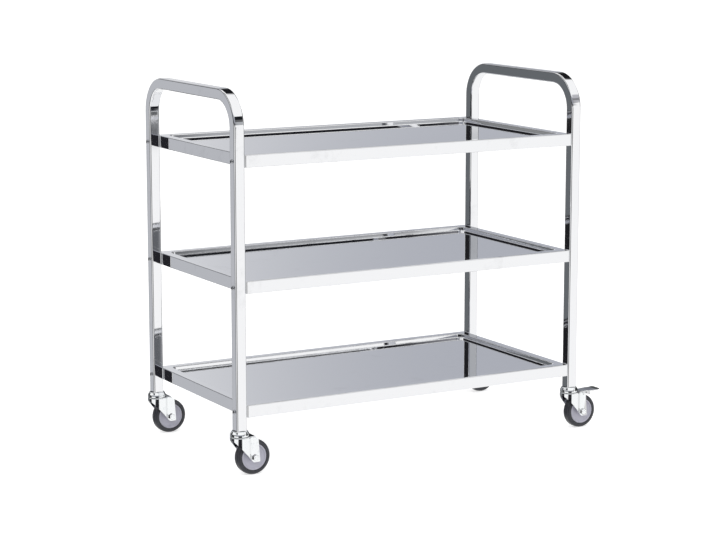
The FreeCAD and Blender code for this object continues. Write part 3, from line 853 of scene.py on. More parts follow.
@dataclass(frozen=True)
class PaleFloor(Finish):
    """Matt studio floor that reads white to the camera and keeps the trolley's shadow."""

    tint: Colour = (0.86, 0.86, 0.86)
    patch: Colour = (0.84, 0.84, 0.845)
    roughness: float = 0.9
    glow: float = 0.58

    def dress(self, graph: Graph) -> None:
        """Lays faint patches on the floor and lights it for the camera alone.

        Args:
            graph: The material's nodes.
        """
        graph.feed("Roughness", self.roughness)
        graph.feed("Specular IOR Level", 0.1)
        tone = graph.effect(Effect.SMUDGES, scale=1.5, cover=0.4)
        graph.feed("Base Color", graph.blend(tone, self.tint, self.patch))
        graph.feed("Emission Color", WHITE)
        seen = graph.add("ShaderNodeLightPath").outputs["Is Camera Ray"]
        graph.feed("Emission Strength", graph.between(seen, 0.0, self.glow))


@dataclass
class Finishes:
    """Every material of the trolley, made once."""

    effects: Effects = field(default_factory=Effects)

    def __post_init__(self) -> None:
        """Makes the materials."""
        self.tube = MirrorSteel("Polished tube").material(self.effects)
        self.sheet = MirrorSteel(
            "Polished sheet", unevenness=0.06, uneven_scale=5.0, grain=(14.0, 900.0, 900.0),
        ).material(self.effects)
        self.deck = MirrorSteel(
            "Tray deck", tint=(0.88, 0.885, 0.90), hazed=(0.82, 0.825, 0.84), roughness=0.03, haze=0.06,
            unevenness=0.10, uneven_scale=4.0, grain=(10.0, 1100.0, 1100.0), grain_depth=0.0005,
        ).material(self.effects)
        self.screw = MirrorSteel(
            "Screw steel", tint=(0.42, 0.43, 0.45), hazed=(0.34, 0.35, 0.36), roughness=0.12, haze=0.2,
            unevenness=0.0, grain=(900.0, 900.0, 900.0), grain_depth=0.002,
        ).material(self.effects)
        self.zinc = ZincPlate("Bright zinc").material(self.effects)
        self.pedal = ZincPlate(
            "Pedal zinc", tint=(0.86, 0.87, 0.88), mottle=(0.72, 0.73, 0.75), grazing=(0.45, 0.46, 0.47),
            roughness=0.1,
        ).material(self.effects)
        self.steel = PlainSteel("Plain steel").material(self.effects)
        self.ball = PlainSteel(
            "Ball steel", tint=(0.75, 0.75, 0.76), stain=(0.6, 0.6, 0.6), roughness=0.1,
        ).material(self.effects)
        self.rubber = MouldedRubber("Tread rubber").material(self.effects)
        self.nylon = MouldedNylon("Wheel centre").material(self.effects)
        self.floor = PaleFloor("Pale floor").material(self.effects)


# Sub-assemblies


@dataclass
class EndHoop:
    """One end of the frame: a square tube bent over two legs."""

    side: str
    looks: Finishes
    wall: float = 1.2
    corner: float = 3.5
    centre_bend: float = 70.0
    bend_steps: int = 28

    def build(self) -> None:
        """Draws the tube up one leg, over the top and down the other."""
        low, high = extent(f"hoop_{self.side}")
        half = (high.x - low.x) / 2
        middle_x = (low.x + high.x) / 2
        reach = high.y - half
        spring = high.z - half - self.centre_bend
        crown = reach - self.centre_bend
        quarter = -math.pi / 2
        bm = bmesh.new()
        loop = round_loop(bm, Vector((middle_x, -reach, low.z)), half, half, self.corner, 5)
        loop = stretch(bm, loop, Z_AXIS * (spring - low.z))
        loop = bend(bm, loop, Vector((middle_x, -crown, spring)), X_AXIS, quarter, self.bend_steps)
        loop = stretch(bm, loop, Y_AXIS * (crown * 2))
        loop = bend(bm, loop, Vector((middle_x, crown, spring)), X_AXIS, quarter, self.bend_steps)
        stretch(bm, loop, Z_AXIS * (low.z - spring))
        bmesh.ops.remove_doubles(bm, verts=bm.verts[:], dist=MERGE)
        node = f"hoop_{self.side}"
        Piece(f"{node}_tube", "frame", "hoop", (node,), (self.looks.tube,), sheet=self.wall).finish(bm)


@dataclass
class PressedTray:
    """One tray: a flat rim round a pressed recess, and a flange turned down and hemmed.

    The draft is in degrees. Widening counts how many roundings before the recess the corners are widest.
    """

    tier: Tier
    looks: Finishes
    sheet: float = 1.0
    corner: float = 3.5
    least_corner: float = 0.5
    rim: float = 22.0
    rim_round: float = 2.0
    edge_bend: float = 2.0
    recess_corner: float = 14.0
    depth: float = 9.0
    draft: float = 8.0
    foot_round: float = 1.2
    hem: float = 12.0
    hem_bend: float = 1.6
    foot_run: float = 6.0
    widening: float = 1.3
    corner_steps: int = 10

    def section(self, flange: float) -> list[Turn]:
        """Draws the sheet's outer face from the hem to the deck.

        Args:
            flange: Height of the flange.

        Returns:
            Its corners, as inset and height.
        """
        wall = self.depth * math.tan(math.radians(self.draft))
        return [
            Turn(self.hem, -flange),
            Turn(0.0, -flange, self.hem_bend),
            Turn(0.0, 0.0, self.edge_bend),
            Turn(self.rim, 0.0, self.rim_round),
            Turn(self.rim + wall, -self.depth, self.foot_round),
            Turn(self.rim + wall + self.foot_run, -self.depth),
        ]

    def corner_at(self, inset: float) -> float:
        """Gives the plan radius of the tray's corners.

        Args:
            inset: How far inside the outer face.

        Returns:
            The radius there: tight along the rim, wide round the recess.
        """
        spread = self.recess_corner + self.rim - inset
        square = max(self.corner - inset, self.least_corner)
        start = self.rim - self.rim_round * self.widening
        return spread if inset > start else square + (spread - square) * max(inset / start, 0.0) ** 4

    def build(self) -> None:
        """Lofts the section round the tray and lays the deck in it."""
        node = f"tray_{self.tier.value}"
        low, high = extent(node)
        centre = (low + high) / 2
        half = (high - low) / 2
        bm = bmesh.new()
        last: list[bmesh.types.BMEdge] = []
        for inset, rise in rounded(self.section(high.z - low.z), closed=False, steps=6):
            spot = Vector((centre.x, centre.y, high.z + rise))
            loop = round_loop(
                bm, spot, half.x - inset, half.y - inset, self.corner_at(inset), self.corner_steps,
            )
            if last:
                bmesh.ops.bridge_loops(bm, edges=last + loop)
            last = loop
        deck = bmesh.ops.holes_fill(bm, edges=last, sides=0)["faces"]
        for face in deck:
            face.material_index = 1
        Piece(
            f"{node}_pressing", "frame", "tray", (node,), (self.looks.sheet, self.looks.deck),
            sheet=self.sheet,
        ).finish(bm)


@dataclass
class TrayScrews:
    """The four screws that hold one tray between the hoops."""

    tier: Tier
    looks: Finishes
    head: float = 5.25
    rise: float = 3.3
    socket: float = 4.0
    socket_depth: float = 2.0
    shank: float = 3.0

    def build(self) -> None:
        """Turns the four screws, each with a round socket sunk in its head."""
        node = f"screws_{self.tier.value}"
        low, high = extent(node)
        middle_z = (low.z + high.z) / 2
        middle_x = (low.x + high.x) / 2
        reach_y = high.y - self.head
        length = self.reach_inwards()
        bm = bmesh.new()
        for side in (-1, 1):
            seat_x = middle_x + side * ((high.x - low.x) / 2 - self.rise)
            for y in (-reach_y, reach_y):
                self.screw(bm, Vector((seat_x, y, middle_z)), X_AXIS * side, length)
        Piece(f"{node}_heads", "frame", "screw", (node,), (self.looks.screw,)).finish(bm)

    def reach_inwards(self) -> float:
        """Measures a shank, which goes through the tube and the flange into the weld nut.

        Returns:
            Its length.
        """
        tube, _ = extent("hoop_left")
        nut, _ = extent(f"weld_nuts_{self.tier.value}")
        return nut.x + self.shank * 2 - tube.x

    def screw(self, bm: bmesh.types.BMesh, seat: Vector, out: Vector, length: float) -> None:
        """Adds one screw.

        Args:
            bm: Mesh to add to.
            seat: Middle of the head's seat.
            out: Direction in which the head stands up.
            length: Length of the shank.
        """
        recess = self.socket / math.sqrt(3.0)
        floor = self.rise - self.socket_depth
        outline = [
            Turn(0.0, -length), Turn(self.shank, -length, 0.6), Turn(self.shank, 0.0),
            Turn(self.head, 0.0, 0.4), Turn(self.head * 0.9, self.rise * 0.55, 1.0),
            Turn(self.head * 0.62, self.rise, 0.9), Turn(recess, self.rise, 0.2),
            Turn(recess * 0.95, floor), Turn(0.0, floor),
        ]
        turn_solid(bm, outline, seat, out, closed=False, steps=24)


@dataclass
class Castor:
    """One swivel castor: cup, fork, wheel and fasteners, and a pedal where it is braked.

    The fork's sizes are measured from the swivel axis and the floor. The pedal's heel, flare and bend are
    shares of its length.
    """

    corner: Corner
    looks: Finishes
    cup_bore: float = 6.2
    cup_sheet: float = 2.0
    cup_wall: float = 1.9
    cup_shoulder: float = 4.1
    cup_slope: float = 7.6
    crown_radius: float = 21.5
    fork_sheet: float = 2.3
    foot_half: float = 17.0
    crease_x: float = 12.0
    joggle_run: float = 8.0
    crease_round: float = 3.0
    fold: float = 2.6
    skirt_z: float = 82.0
    toe_x: float = 25.0
    heel_x: float = 41.5
    foot_z: float = 29.6
    shoulder_x: float = 37.5
    shoulder_z: float = 81.0
    rear_x: float = 30.0
    open_run: float = 6.0
    crown_z: float = 88.5
    foot_corner: float = 3.0
    foot_near: float = 0.5
    dome_rim: float = 15.4
    dome_top: float = 96.5
    dome_narrow: float = 11.3
    dome_round: float = 1.2
    stem_bore: float = 6.4
    axle: float = 8.0
    hex_across: float = 13.0
    hex_depth: float = 4.1
    bolt_tip: float = 4.4
    core_radius: float = 29.5
    bead: float = 2.4
    bead_half: float = 4.4
    hub_play: float = 0.4
    pedal_half: float = 17.0
    pedal_sheet: float = 2.0
    pedal_lift: float = 1.3
    pedal_play: float = 0.8
    pedal_heel: float = 0.327
    pedal_flare: float = 0.513
    pedal_bend: float = 0.80
    pedal_round: float = 3.0
    tip_round: float = 5.8
    pin_eye: float = 4.0

    def __post_init__(self) -> None:
        """Reads where the castor stands and how large its wheel is."""
        low, high = extent(f"stem_{self.corner.value}")
        self.axis = Vector(((low.x + high.x) / 2, (low.y + high.y) / 2, 0.0))
        low, high = extent(f"tyre_{self.corner.value}")
        self.hub = (low + high) / 2
        self.tyre_radius = (high.z - low.z) / 2
        self.tyre_half = (high.y - low.y) / 2
        self.swivel = f"swivel_{self.corner.value}"
        self.roll = f"wheel_{self.corner.value}"

    def node(self, name: str) -> str:
        """Names one of this castor's CAD nodes."""
        return f"{name}_{self.corner.value}"

    def piece(
        self, name: str, body: str, look: bpy.types.Material, bm: bmesh.types.BMesh, **traits: float,
    ) -> None:
        """Finishes one piece that stands for the node of the same name.

        Args:
            name: Name of the sub-part, without its corner.
            body: Body that it rides on.
            look: Its material.
            bm: Its shape.
            **traits: Sheet thickness, edge rounding or crease angle.
        """
        Piece(f"{self.node(name)}_shape", body, name, (self.node(name),), (look,), **traits).finish(bm)

    def build(self) -> None:
        """Builds the castor's visible pieces."""
        self.build_cup()
        self.build_fork()
        self.build_fasteners()
        self.build_core()
        self.build_tyre()
        if self.corner.braked:
            self.build_pedal()

    def build_cup(self) -> None:
        """Turns the pressed cup over the upper bearing."""
        low, high = extent(self.node("cup"))
        rim = (high.x - low.x) / 2
        inner = rim - self.cup_wall
        under = high.z - self.cup_sheet
        outline = [
            Turn(self.cup_bore, high.z), Turn(rim - self.cup_shoulder, high.z, 1.8),
            Turn(rim, high.z - self.cup_slope, 2.2), Turn(rim, low.z, 0.5), Turn(inner, low.z, 0.4),
            Turn(inner, high.z - self.cup_slope - 0.8, 1.4), Turn(rim - self.cup_shoulder - 1.5, under, 1.0),
            Turn(self.cup_bore, under),
        ]
        bm = bmesh.new()
        turn_solid(bm, outline, Vector((self.axis.x, self.axis.y, 0.0)), Z_AXIS, steps=96)
        self.piece("cup", "frame", self.looks.zinc, bm)

    def plan(self) -> list[tuple[float, float]]:
        """Draws the fork's plan outline from the rear of one cheek round the crown to the other.

        Returns:
            Its points, about the swivel axis.
        """
        steps = 36
        bow = [
            (-self.crown_radius * math.sin(math.pi * step / steps),
             self.crown_radius * math.cos(math.pi * step / steps))
            for step in range(steps + 1)
        ]
        cheek = [
            Turn(self.heel_x + self.open_run, self.foot_half),
            Turn(self.crease_x + self.joggle_run, self.foot_half, self.crease_round),
            Turn(self.crease_x, self.crown_radius, self.crease_round), Turn(2.0, self.crown_radius),
        ]
        side = rounded(cheek, closed=False, steps=4)
        return side + bow + [(x, -y) for x, y in reversed(side)]

    def build_fork(self) -> None:
        """Bends the fork from sheet: crown, cheeks, raised dome, and the cuts of its edges."""
        bm = bmesh.new()
        depth = self.crown_z - self.foot_z + self.fold
        top = [bm.verts.new((x, y, self.crown_z)) for x, y in self.plan()]
        lid = bm.faces.new(top)
        fold = [edge for edge in lid.edges if not self.rear_edge(edge)]
        drawn = bmesh.ops.extrude_edge_only(bm, edges=fold)["geom"]
        lowered = [item for item in drawn if isinstance(item, bmesh.types.BMVert)]
        bmesh.ops.translate(bm, vec=(0.0, 0.0, -depth), verts=lowered)
        fold = [edge for edge in lid.edges if not self.rear_edge(edge)]
        round_off(bm, fold, self.fold, 5)
        self.raise_dome(bm)
        self.trim(bm, (self.toe_x, self.foot_z), (-self.crown_radius, self.skirt_z))
        self.trim(bm, (self.heel_x, self.foot_z), (self.toe_x, self.foot_z))
        self.trim(bm, (self.shoulder_x, self.shoulder_z), (self.heel_x, self.foot_z))
        self.trim(bm, (self.rear_x, self.crown_z), (self.shoulder_x, self.shoulder_z))
        if self.corner.braked:
            self.cut_gate(bm)
        ends = [Vector((x, self.foot_z)) for x in (self.toe_x, self.heel_x)]
        feet = [
            vert for vert in bm.verts
            if vert.is_boundary and any((vert.co.xz - end).length < self.foot_near for end in ends)
        ]
        round_off(bm, feet, self.foot_corner, 5, "VERTICES")
        bmesh.ops.translate(bm, vec=self.axis, verts=bm.verts[:])
        self.piece(
            "fork", self.swivel, self.looks.zinc, bm, sheet=self.fork_sheet, edge_round=0.35, crease=50.0,
        )

    def rear_edge(self, edge: bmesh.types.BMEdge) -> bool:
        """Tells whether an edge of the crown's lid lies across its open rear end."""
        return all(vert.co.x > self.heel_x for vert in edge.verts)

    def crown_faces(self, bm: bmesh.types.BMesh) -> list[bmesh.types.BMFace]:
        """Picks the flat faces on top of the crown."""
        return [
            face for face in bm.faces
            if all(abs(vert.co.z - self.crown_z) < MERGE for vert in face.verts)
        ]

    def raise_dome(self, bm: bmesh.types.BMesh) -> None:
        """Opens the crown round the stem and raises the cone that the balls run on.

        Args:
            bm: Mesh of the fork.
        """
        lid = max(self.crown_faces(bm), key=lambda face: face.calc_area())
        border = list(lid.edges)
        bmesh.ops.delete(bm, geom=[lid], context="FACES_ONLY")
        ring = bmesh.ops.create_circle(
            bm, segments=72, radius=self.dome_rim, matrix=Matrix.Translation(Z_AXIS * self.crown_z),
        )["verts"]
        loop = once(edge for vert in ring for edge in vert.link_edges)
        bmesh.ops.triangle_fill(bm, use_beauty=True, use_dissolve=False, edges=border + loop)
        flank = self.draw_in(bm, loop, self.dome_narrow / self.dome_rim, self.dome_top - self.crown_z)
        self.draw_in(bm, flank, self.stem_bore / self.dome_narrow, 0.0)
        round_off(bm, flank, self.dome_round, 4)

    @staticmethod
    def draw_in(
        bm: bmesh.types.BMesh, loop: list[bmesh.types.BMEdge], scale: float, rise: float,
    ) -> list[bmesh.types.BMEdge]:
        """Draws a loop about the swivel axis inwards and up.

        Args:
            bm: Mesh that holds the loop.
            loop: Edges to draw out.
            scale: Size of the new loop against the old one.
            rise: How far up the new loop lies.

        Returns:
            The new loop.
        """
        geom = bmesh.ops.extrude_edge_only(bm, edges=loop)["geom"]
        verts = [item for item in geom if isinstance(item, bmesh.types.BMVert)]
        bmesh.ops.scale(bm, vec=(scale, scale, 1.0), verts=verts)
        bmesh.ops.translate(bm, vec=(0.0, 0.0, rise), verts=verts)
        inner = set(verts)
        return [
            item for item in geom
            if isinstance(item, bmesh.types.BMEdge) and item.verts[0] in inner and item.verts[1] in inner
        ]

    def cut_gate(self, bm: bmesh.types.BMesh) -> None:
        """Opens the crown behind the cup, where the pedal comes through.

        Args:
            bm: Mesh of the fork.
        """
        half = self.foot_half - self.fold
        sides = (X_AXIS * self.crown_radius, X_AXIS), (Y_AXIS * half, Y_AXIS), (Y_AXIS * -half, Y_AXIS)
        for spot, way in sides:
            crown = self.crown_faces(bm)
            edges = once(edge for face in crown for edge in face.edges)
            verts = once(vert for face in crown for vert in face.verts)
            bmesh.ops.bisect_plane(
                bm, geom=verts + edges + crown, dist=MERGE, plane_co=spot, plane_no=way,
            )
        gate = [
            face for face in self.crown_faces(bm)
            if face.calc_center_median().x > self.crown_radius and abs(face.calc_center_median().y) < half
        ]
        bmesh.ops.delete(bm, geom=gate, context="FACES")

    @staticmethod
    def trim(
        bm: bmesh.types.BMesh, start: tuple[float, float], end: tuple[float, float],
        geom: list | None = None,
    ) -> None:
        """Cuts away what lies on the left of a line in the side view.

        Args:
            bm: Mesh to cut.
            start: First point of the line, as x and z.
            end: Second point of the line.
            geom: The part of the mesh to cut, or all of it.
        """
        run = Vector((end[0] - start[0], 0.0, end[1] - start[1]))
        away = Vector((-run.z, 0.0, run.x)).normalized()
        bmesh.ops.bisect_plane(
            bm, geom=geom or bm.verts[:] + bm.edges[:] + bm.faces[:], dist=MERGE,
            plane_co=(start[0], 0.0, start[1]), plane_no=away, clear_outer=True,
        )

    def build_fasteners(self) -> None:
        """Makes the axle bolt behind the fork and its nut in front."""
        back = self.hub + Y_AXIS * self.foot_half
        front = self.hub - Y_AXIS * self.foot_half
        length = self.foot_half * 2 + self.bolt_tip
        bm = bmesh.new()
        hexagon(bm, back, Y_AXIS, self.hex_across, self.hex_depth, 0.7)
        outline = [
            Turn(0.0, 0.0), Turn(self.axle / 2, 0.0), Turn(self.axle / 2, length, 0.8), Turn(0.0, length),
        ]
        turn_solid(bm, outline, back, -Y_AXIS, closed=False, steps=32)
        self.piece("axle_bolt", self.swivel, self.looks.zinc, bm)
        bm = bmesh.new()
        hexagon(bm, front, -Y_AXIS, self.hex_across, self.hex_depth, 0.9)
        self.piece("axle_nut", self.swivel, self.looks.zinc, bm)

    def build_core(self) -> None:
        """Turns the moulded wheel centre: a boss, a web, and a lip that stands out of the tyre."""
        hub = self.foot_half - self.fork_sheet - self.hub_play
        lip, seat, web = (self.tyre_half * share for share in (1.06, 0.93, 0.82))
        bore, boss, boss_foot = (self.axle * share for share in (0.76, 1.3, 1.4))
        rim = self.core_radius
        lip_out, lip_in, dish = (rim * share for share in (0.955, 0.885, 0.86))
        outline = both_sides([
            Turn(bore, hub), Turn(boss, hub, 0.8), Turn(boss_foot, web, 1.2), Turn(dish, web, 1.0),
            Turn(lip_in, lip, 0.9), Turn(lip_out, lip, 0.9), Turn(rim, seat, 0.5),
            Turn(rim, self.bead_half), Turn(rim + self.bead, self.bead_half),
        ])
        bm = bmesh.new()
        turn_solid(bm, outline, self.hub, Y_AXIS, steps=96)
        self.piece("wheel_core", self.roll, self.looks.nylon, bm)

    def build_tyre(self) -> None:
        """Turns the tread ring with its sloping sides and rounded shoulders."""
        rim = self.core_radius
        half = self.tyre_half
        edge = self.tyre_radius
        outline = both_sides([
            Turn(rim + self.bead, self.bead_half), Turn(rim, self.bead_half), Turn(rim, half * 0.93, 0.3),
            Turn(rim + self.bead, half, 1.0), Turn(edge * 0.925, half * 0.94, 1.6),
            Turn(edge * 0.985, half * 0.7, 1.6), Turn(edge, half * 0.3, 1.6),
        ])
        bm = bmesh.new()
        turn_solid(bm, outline, self.hub, Y_AXIS, steps=128)
        self.piece("tyre", self.roll, self.looks.rubber, bm)

    def build_pedal(self) -> None:
        """Presses the brake pedal: a waisted plate with a raised tip, folded down to its pin."""
        low, high = extent(self.node("brake_pedal"))
        pin_low, pin_high = extent(self.node("pedal_pin"))
        pin = (pin_low + pin_high) / 2
        cheek = self.foot_half - self.fork_sheet - self.pedal_play
        plate_z = high.z - self.pedal_lift
        reach = high.x - low.x
        heel = low.x + reach * self.pedal_heel
        flare = low.x + reach * self.pedal_flare
        bend_x = low.x + reach * self.pedal_bend
        slope = self.pedal_lift / (high.x - bend_x)
        tip = high.x - self.pedal_sheet * slope
        outline = both_sides([
            Turn(low.x, -cheek), Turn(heel, -cheek, self.pedal_round),
            Turn(flare, -self.pedal_half, self.pedal_round), Turn(tip, -self.pedal_half, self.tip_round),
        ])
        bm = bmesh.new()
        bm.faces.new([
            bm.verts.new((x, self.axis.y + y, plate_z)) for x, y in rounded(outline, closed=True, steps=5)
        ])
        sides = [
            edge for edge in bm.edges
            if all(vert.co.x < heel for vert in edge.verts)
            and all(abs(abs(vert.co.y - self.axis.y) - cheek) < MERGE for vert in edge.verts)
        ]
        eye_z = pin.z - self.pin_eye
        stretch(bm, sides, Z_AXIS * (eye_z - plate_z))
        round_off(bm, sides, self.pedal_sheet, 4)
        fold_z = plate_z - self.pedal_sheet * 2
        self.trim_cheeks(bm, plate_z, (pin.x - self.pin_eye / 2, eye_z), (low.x, fold_z))
        self.trim_cheeks(bm, plate_z, (heel, fold_z), (pin.x + self.pin_eye / 2, eye_z))
        for at in (bend_x - 2.0, bend_x, bend_x + 2.0):
            bmesh.ops.bisect_plane(
                bm, geom=bm.verts[:] + bm.edges[:] + bm.faces[:], dist=MERGE,
                plane_co=(at, 0.0, 0.0), plane_no=X_AXIS,
            )
        for vert in bm.verts:
            vert.co.z += max(vert.co.x - bend_x, 0.0) * slope
        self.piece("brake_pedal", f"pedal_{self.corner.value}", self.looks.pedal, bm,
                   sheet=self.pedal_sheet, edge_round=0.3, crease=50.0)

    def trim_cheeks(
        self, bm: bmesh.types.BMesh, plate_z: float, start: tuple[float, float], end: tuple[float, float],
    ) -> None:
        """Cuts a corner off the pedal's cheeks below its plate.

        Args:
            bm: Mesh to cut.
            plate_z: Height of the plate.
            start: First point of the line, as x and z.
            end: Second point of the line; what lies on the left goes.
        """
        below = [
            face for face in bm.faces
            if abs(face.normal.z) < 0.2 and face.calc_center_median().z < plate_z - self.pedal_sheet
        ]
        edges = once(edge for face in below for edge in face.edges)
        verts = once(vert for face in below for vert in face.verts)
        self.trim(bm, start, end, verts + edges + below)


@dataclass
class InnerPieces:
    """Small and hidden CAD pieces that keep their shape and only get a finish."""

    looks: Finishes

    def dress(self) -> None:
        """Gives each kept node its material."""
        kept = {
            "weld_nuts": self.looks.steel,
            "leg_socket": self.looks.steel,
            "stem": self.looks.zinc,
            "balls": self.looks.ball,
            "axle_sleeve": self.looks.steel,
            "brake_shoe": self.looks.zinc,
            "pedal_pin": self.looks.zinc,
        }
        for name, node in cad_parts.items():
            for start, look in kept.items():
                if name.startswith(start):
                    for slot in node.material_slots:
                        slot.material = look
                    log.info("%s wears %s", name, look.name)


# Studio


@dataclass(frozen=True)
class Flag:
    """A grey or black screen far off, seen only in the metal.

    Its azimuths run from north to east and its heights up from the horizon, all in degrees.
    """

    name: str
    across: tuple[float, float]
    height: tuple[float, float]
    shade: Colour
    soft: float

    def mask(self, wires: Wiring, way: Sequence[bpy.types.NodeSocket]) -> bpy.types.NodeSocket:
        """Adds the screen's mask to the surroundings.

        Args:
            wires: The nodes of the surroundings.
            way: The three parts of the direction that is looked in.

        Returns:
            One inside the screen and zero outside, with a soft edge.
        """
        middle = math.radians(sum(self.across) / 2)
        half = (self.across[1] - self.across[0]) / 2
        low, high = self.height
        east, north, up = way
        level = wires.combine(
            "ADD", wires.combine("MULTIPLY", east, east), wires.combine("MULTIPLY", north, north),
        )
        along = wires.combine(
            "ADD", wires.combine("MULTIPLY", east, math.sin(middle)),
            wires.combine("MULTIPLY", north, math.cos(middle)),
        )
        facing = wires.combine("DIVIDE", along, wires.combine("SQRT", level, 0.0))
        limits = [half + self.soft, max(half - self.soft, 0.1)]
        width = wires.step(facing, *(math.cos(math.radians(limit)) for limit in limits))
        above = wires.step(up, *(math.sin(math.radians(low + edge)) for edge in (-self.soft, self.soft)))
        below = wires.step(up, *(math.sin(math.radians(high - edge)) for edge in (-self.soft, self.soft)))
        return wires.combine("MULTIPLY", width, wires.combine("MULTIPLY", above, below))


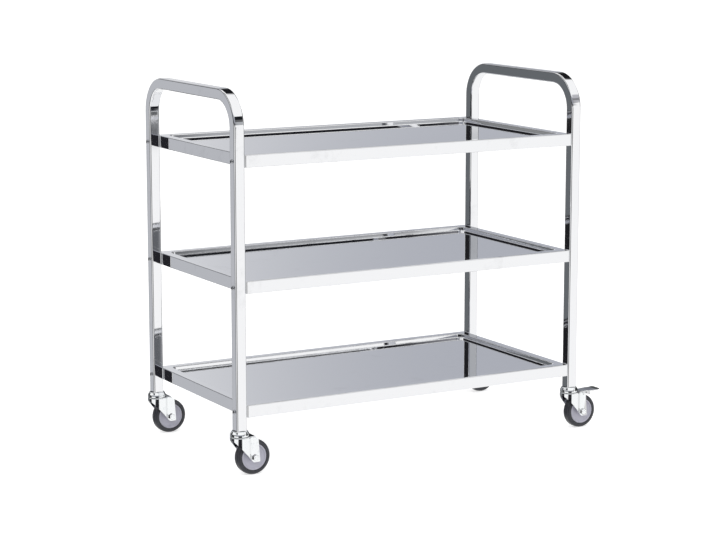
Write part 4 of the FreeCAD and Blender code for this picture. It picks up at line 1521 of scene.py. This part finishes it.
@dataclass
class Studio:
    """Pale floor, white surroundings with screens, soft lamps and the camera.

    The camera looks towards azimuth 30, so ahead is there, right is at 120, behind at 210 and left at 300
    or -60. A later screen stands before an earlier one.
    """

    looks: Finishes
    azimuth: float = 29.594
    elevation: float = 9.812
    lens: float = 108.99
    position: tuple[float, float, float] = (-2.5174, -4.3526, 1.2539)
    floor_half: float = 30.0
    ambient: float = 0.72
    flags: tuple[Flag, ...] = (
        Flag("Pale panel ahead", (26.0, 58.0), (0.0, 20.0), shade=(0.44, 0.455, 0.505), soft=8.0),
        Flag("Black ceiling ahead", (12.0, 72.0), (22.0, 54.0), shade=(0.012, 0.012, 0.014), soft=4.0),
        Flag("Grey ceiling beside it", (-22.0, 10.0), (20.0, 46.0), shade=(0.45, 0.46, 0.49), soft=4.0),
        Flag("Dark wall behind", (148.8, 204.8), (5.6, 28.5), shade=(0.135, 0.14, 0.15), soft=0.5),
        Flag("Black top of that wall", (143.0, 206.0), (13.2, 28.5), shade=(0.012, 0.013, 0.016), soft=0.7),
        Flag("Grey strip on that wall", (144.9, 154.5), (6.0, 14.0), shade=(0.45, 0.46, 0.48), soft=1.0),
        Flag("Dark strip above it", (147.9, 154.5), (14.5, 19.5), shade=(0.13, 0.13, 0.135), soft=1.0),
        Flag("Dark skirting of that wall", (154.7, 165.3), (-6.35, 0.0), shade=(0.13, 0.135, 0.14), soft=0.3),
        Flag("Pale column beside it", (134.5, 144.5), (14.0, 34.0), shade=(0.50, 0.50, 0.53), soft=2.0),
        Flag("Grey patch on the column", (134.5, 144.5), (19.5, 25.0), shade=(0.24, 0.24, 0.25), soft=1.5),
        Flag("Black wall behind, left", (178.0, 320.0), (2.5, 19.0), shade=(0.02, 0.021, 0.023), soft=2.0),
        Flag("Grey curtain behind", (160.0, 272.0), (10.0, 32.0), shade=(0.34, 0.35, 0.39), soft=4.0),
        Flag("Black foot behind", (178.0, 222.0), (-30.0, 7.0), shade=(0.02, 0.02, 0.024), soft=4.0),
        Flag("Dark panel on the left", (-49.0, -29.0), (-30.0, 4.0), shade=(0.135, 0.145, 0.155), soft=1.5),
        Flag("Pale panel on the left", (-29.0, -11.0), (-30.0, 4.0), shade=(0.50, 0.51, 0.54), soft=2.0),
        Flag("Black panel on the left", (-86.0, -50.0), (-30.0, 4.0), shade=(0.02, 0.02, 0.022), soft=3.0),
        Flag("Dark ceiling on the left", (-125.0, -35.0), (38.0, 65.0), shade=(0.07, 0.072, 0.078), soft=2.5),
        Flag("Black ground ahead", (-11.0, 29.0), (-30.0, -2.0), shade=(0.03, 0.031, 0.033), soft=2.0),
        Flag("Black screen on the left", (-46.0, -18.0), (4.0, 24.0), shade=(0.015, 0.015, 0.017), soft=2.0),
        Flag("Dark ground on the right", (48.0, 76.0), (-25.0, 10.0), shade=(0.08, 0.085, 0.09), soft=5.0),
        Flag("Dark rail over the panel", (27.0, 41.0), (16.5, 22.0), shade=(0.10, 0.105, 0.105), soft=1.5),
        Flag("Grey curtain on the right", (95.0, 115.0), (-10.0, 20.0), shade=(0.3, 0.31, 0.33), soft=6.0),
        Flag("Black wall on the right", (68.0, 128.0), (0.5, 26.0), shade=(0.03, 0.031, 0.034), soft=1.5),
    )

    def build(self) -> None:
        """Sets up the floor, the surroundings, the lamps and the camera."""
        self.make_floor()
        self.make_world()
        self.make_lamp("Key", Vector((-2.6, -3.0, 4.2)), size=3.0, power=60.0)
        self.make_lamp("Fill", Vector((3.2, -1.0, 3.2)), size=3.0, power=26.0)
        self.make_camera()
        log.info("studio stands with %d screens", len(self.flags))

    def make_floor(self) -> None:
        """Lays the floor, which the metal doesn't mirror."""
        bm = bmesh.new()
        bmesh.ops.create_grid(bm, x_segments=1, y_segments=1, size=self.floor_half)
        mesh = bpy.data.meshes.new("Floor")
        bm.to_mesh(mesh)
        bm.free()
        mesh.materials.append(self.looks.floor)
        floor = bpy.data.objects.new("Floor", mesh)
        floor.visible_glossy = False
        bpy.context.scene.collection.objects.link(floor)

    def make_world(self) -> None:
        """Fills the surroundings: white to the camera, white with screens in the metal."""
        world = bpy.data.worlds.new("Studio")
        bpy.context.scene.world = world
        world.use_nodes = True
        wires = Wiring(world.node_tree)
        wires.tree.nodes.clear()
        way = wires.add("ShaderNodeSeparateXYZ")
        wires.join(wires.add("ShaderNodeTexCoord").outputs["Generated"], way.inputs[0])
        colour: Source = WHITE
        for flag in self.flags:
            colour = wires.blend(flag.mask(wires, list(way.outputs)), colour, flag.shade)
            colour.node.label = flag.name
        path = wires.add("ShaderNodeLightPath")
        surface = self.sky(wires, WHITE, self.ambient)
        for ray, shade in (("Is Camera Ray", WHITE), ("Is Glossy Ray", colour)):
            mix = wires.add("ShaderNodeMixShader")
            for index, source in enumerate((path.outputs[ray], surface, self.sky(wires, shade, 1.0))):
                wires.join(source, mix.inputs[index])
            surface = mix.outputs[0]
        wires.join(surface, wires.add("ShaderNodeOutputWorld").inputs["Surface"])

    @staticmethod
    def sky(wires: Wiring, colour: Source, strength: float) -> bpy.types.NodeSocket:
        """Adds one background.

        Args:
            wires: The nodes of the surroundings.
            colour: Its colour.
            strength: How bright it is.

        Returns:
            The background.
        """
        node = wires.add("ShaderNodeBackground")
        wires.join(colour, node.inputs["Color"])
        wires.join(strength, node.inputs["Strength"])
        return node.outputs[0]

    @staticmethod
    def make_lamp(name: str, place: Vector, size: float, power: float) -> None:
        """Hangs one square lamp aimed at the trolley, which doesn't show in the metal.

        Args:
            name: Name of the lamp.
            place: Where it hangs, in metres.
            size: Its side, in metres.
            power: Its power, in watts.
        """
        light = bpy.data.lights.new(name, "AREA")
        light.size = size
        light.energy = power
        lamp = bpy.data.objects.new(name, light)
        lamp.location = place
        aim = Vector((0.0, 0.0, 0.4)) - place
        lamp.rotation_euler = aim.to_track_quat("-Z", "Y").to_euler()
        lamp.visible_glossy = False
        bpy.context.scene.collection.objects.link(lamp)

    def make_camera(self) -> None:
        """Puts the camera at the photograph's angle and distance."""
        data = bpy.data.cameras.new("Camera")
        data.sensor_width = 36.0
        data.lens = self.lens
        data.clip_end = 200.0
        camera = bpy.data.objects.new("Camera", data)
        camera.location = self.position
        tilt = math.radians(90.0 - self.elevation)
        camera.rotation_euler = (tilt, 0.0, -math.radians(self.azimuth))
        bpy.context.scene.collection.objects.link(camera)
        bpy.context.scene.camera = camera
        bpy.context.scene.view_settings.view_transform = "Standard"


def main() -> None:
    """Builds the trolley's looks and the studio."""
    logging.basicConfig(level=logging.INFO, format="%(name)s: %(message)s")
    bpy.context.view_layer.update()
    looks = Finishes()
    Studio(looks).build()
    for side in ("left", "right"):
        EndHoop(side, looks).build()
    for tier in Tier:
        PressedTray(tier, looks).build()
        TrayScrews(tier, looks).build()
    for corner in Corner:
        Castor(corner, looks).build()
    InnerPieces(looks).dress()


if __name__ == "__main__":
    main()
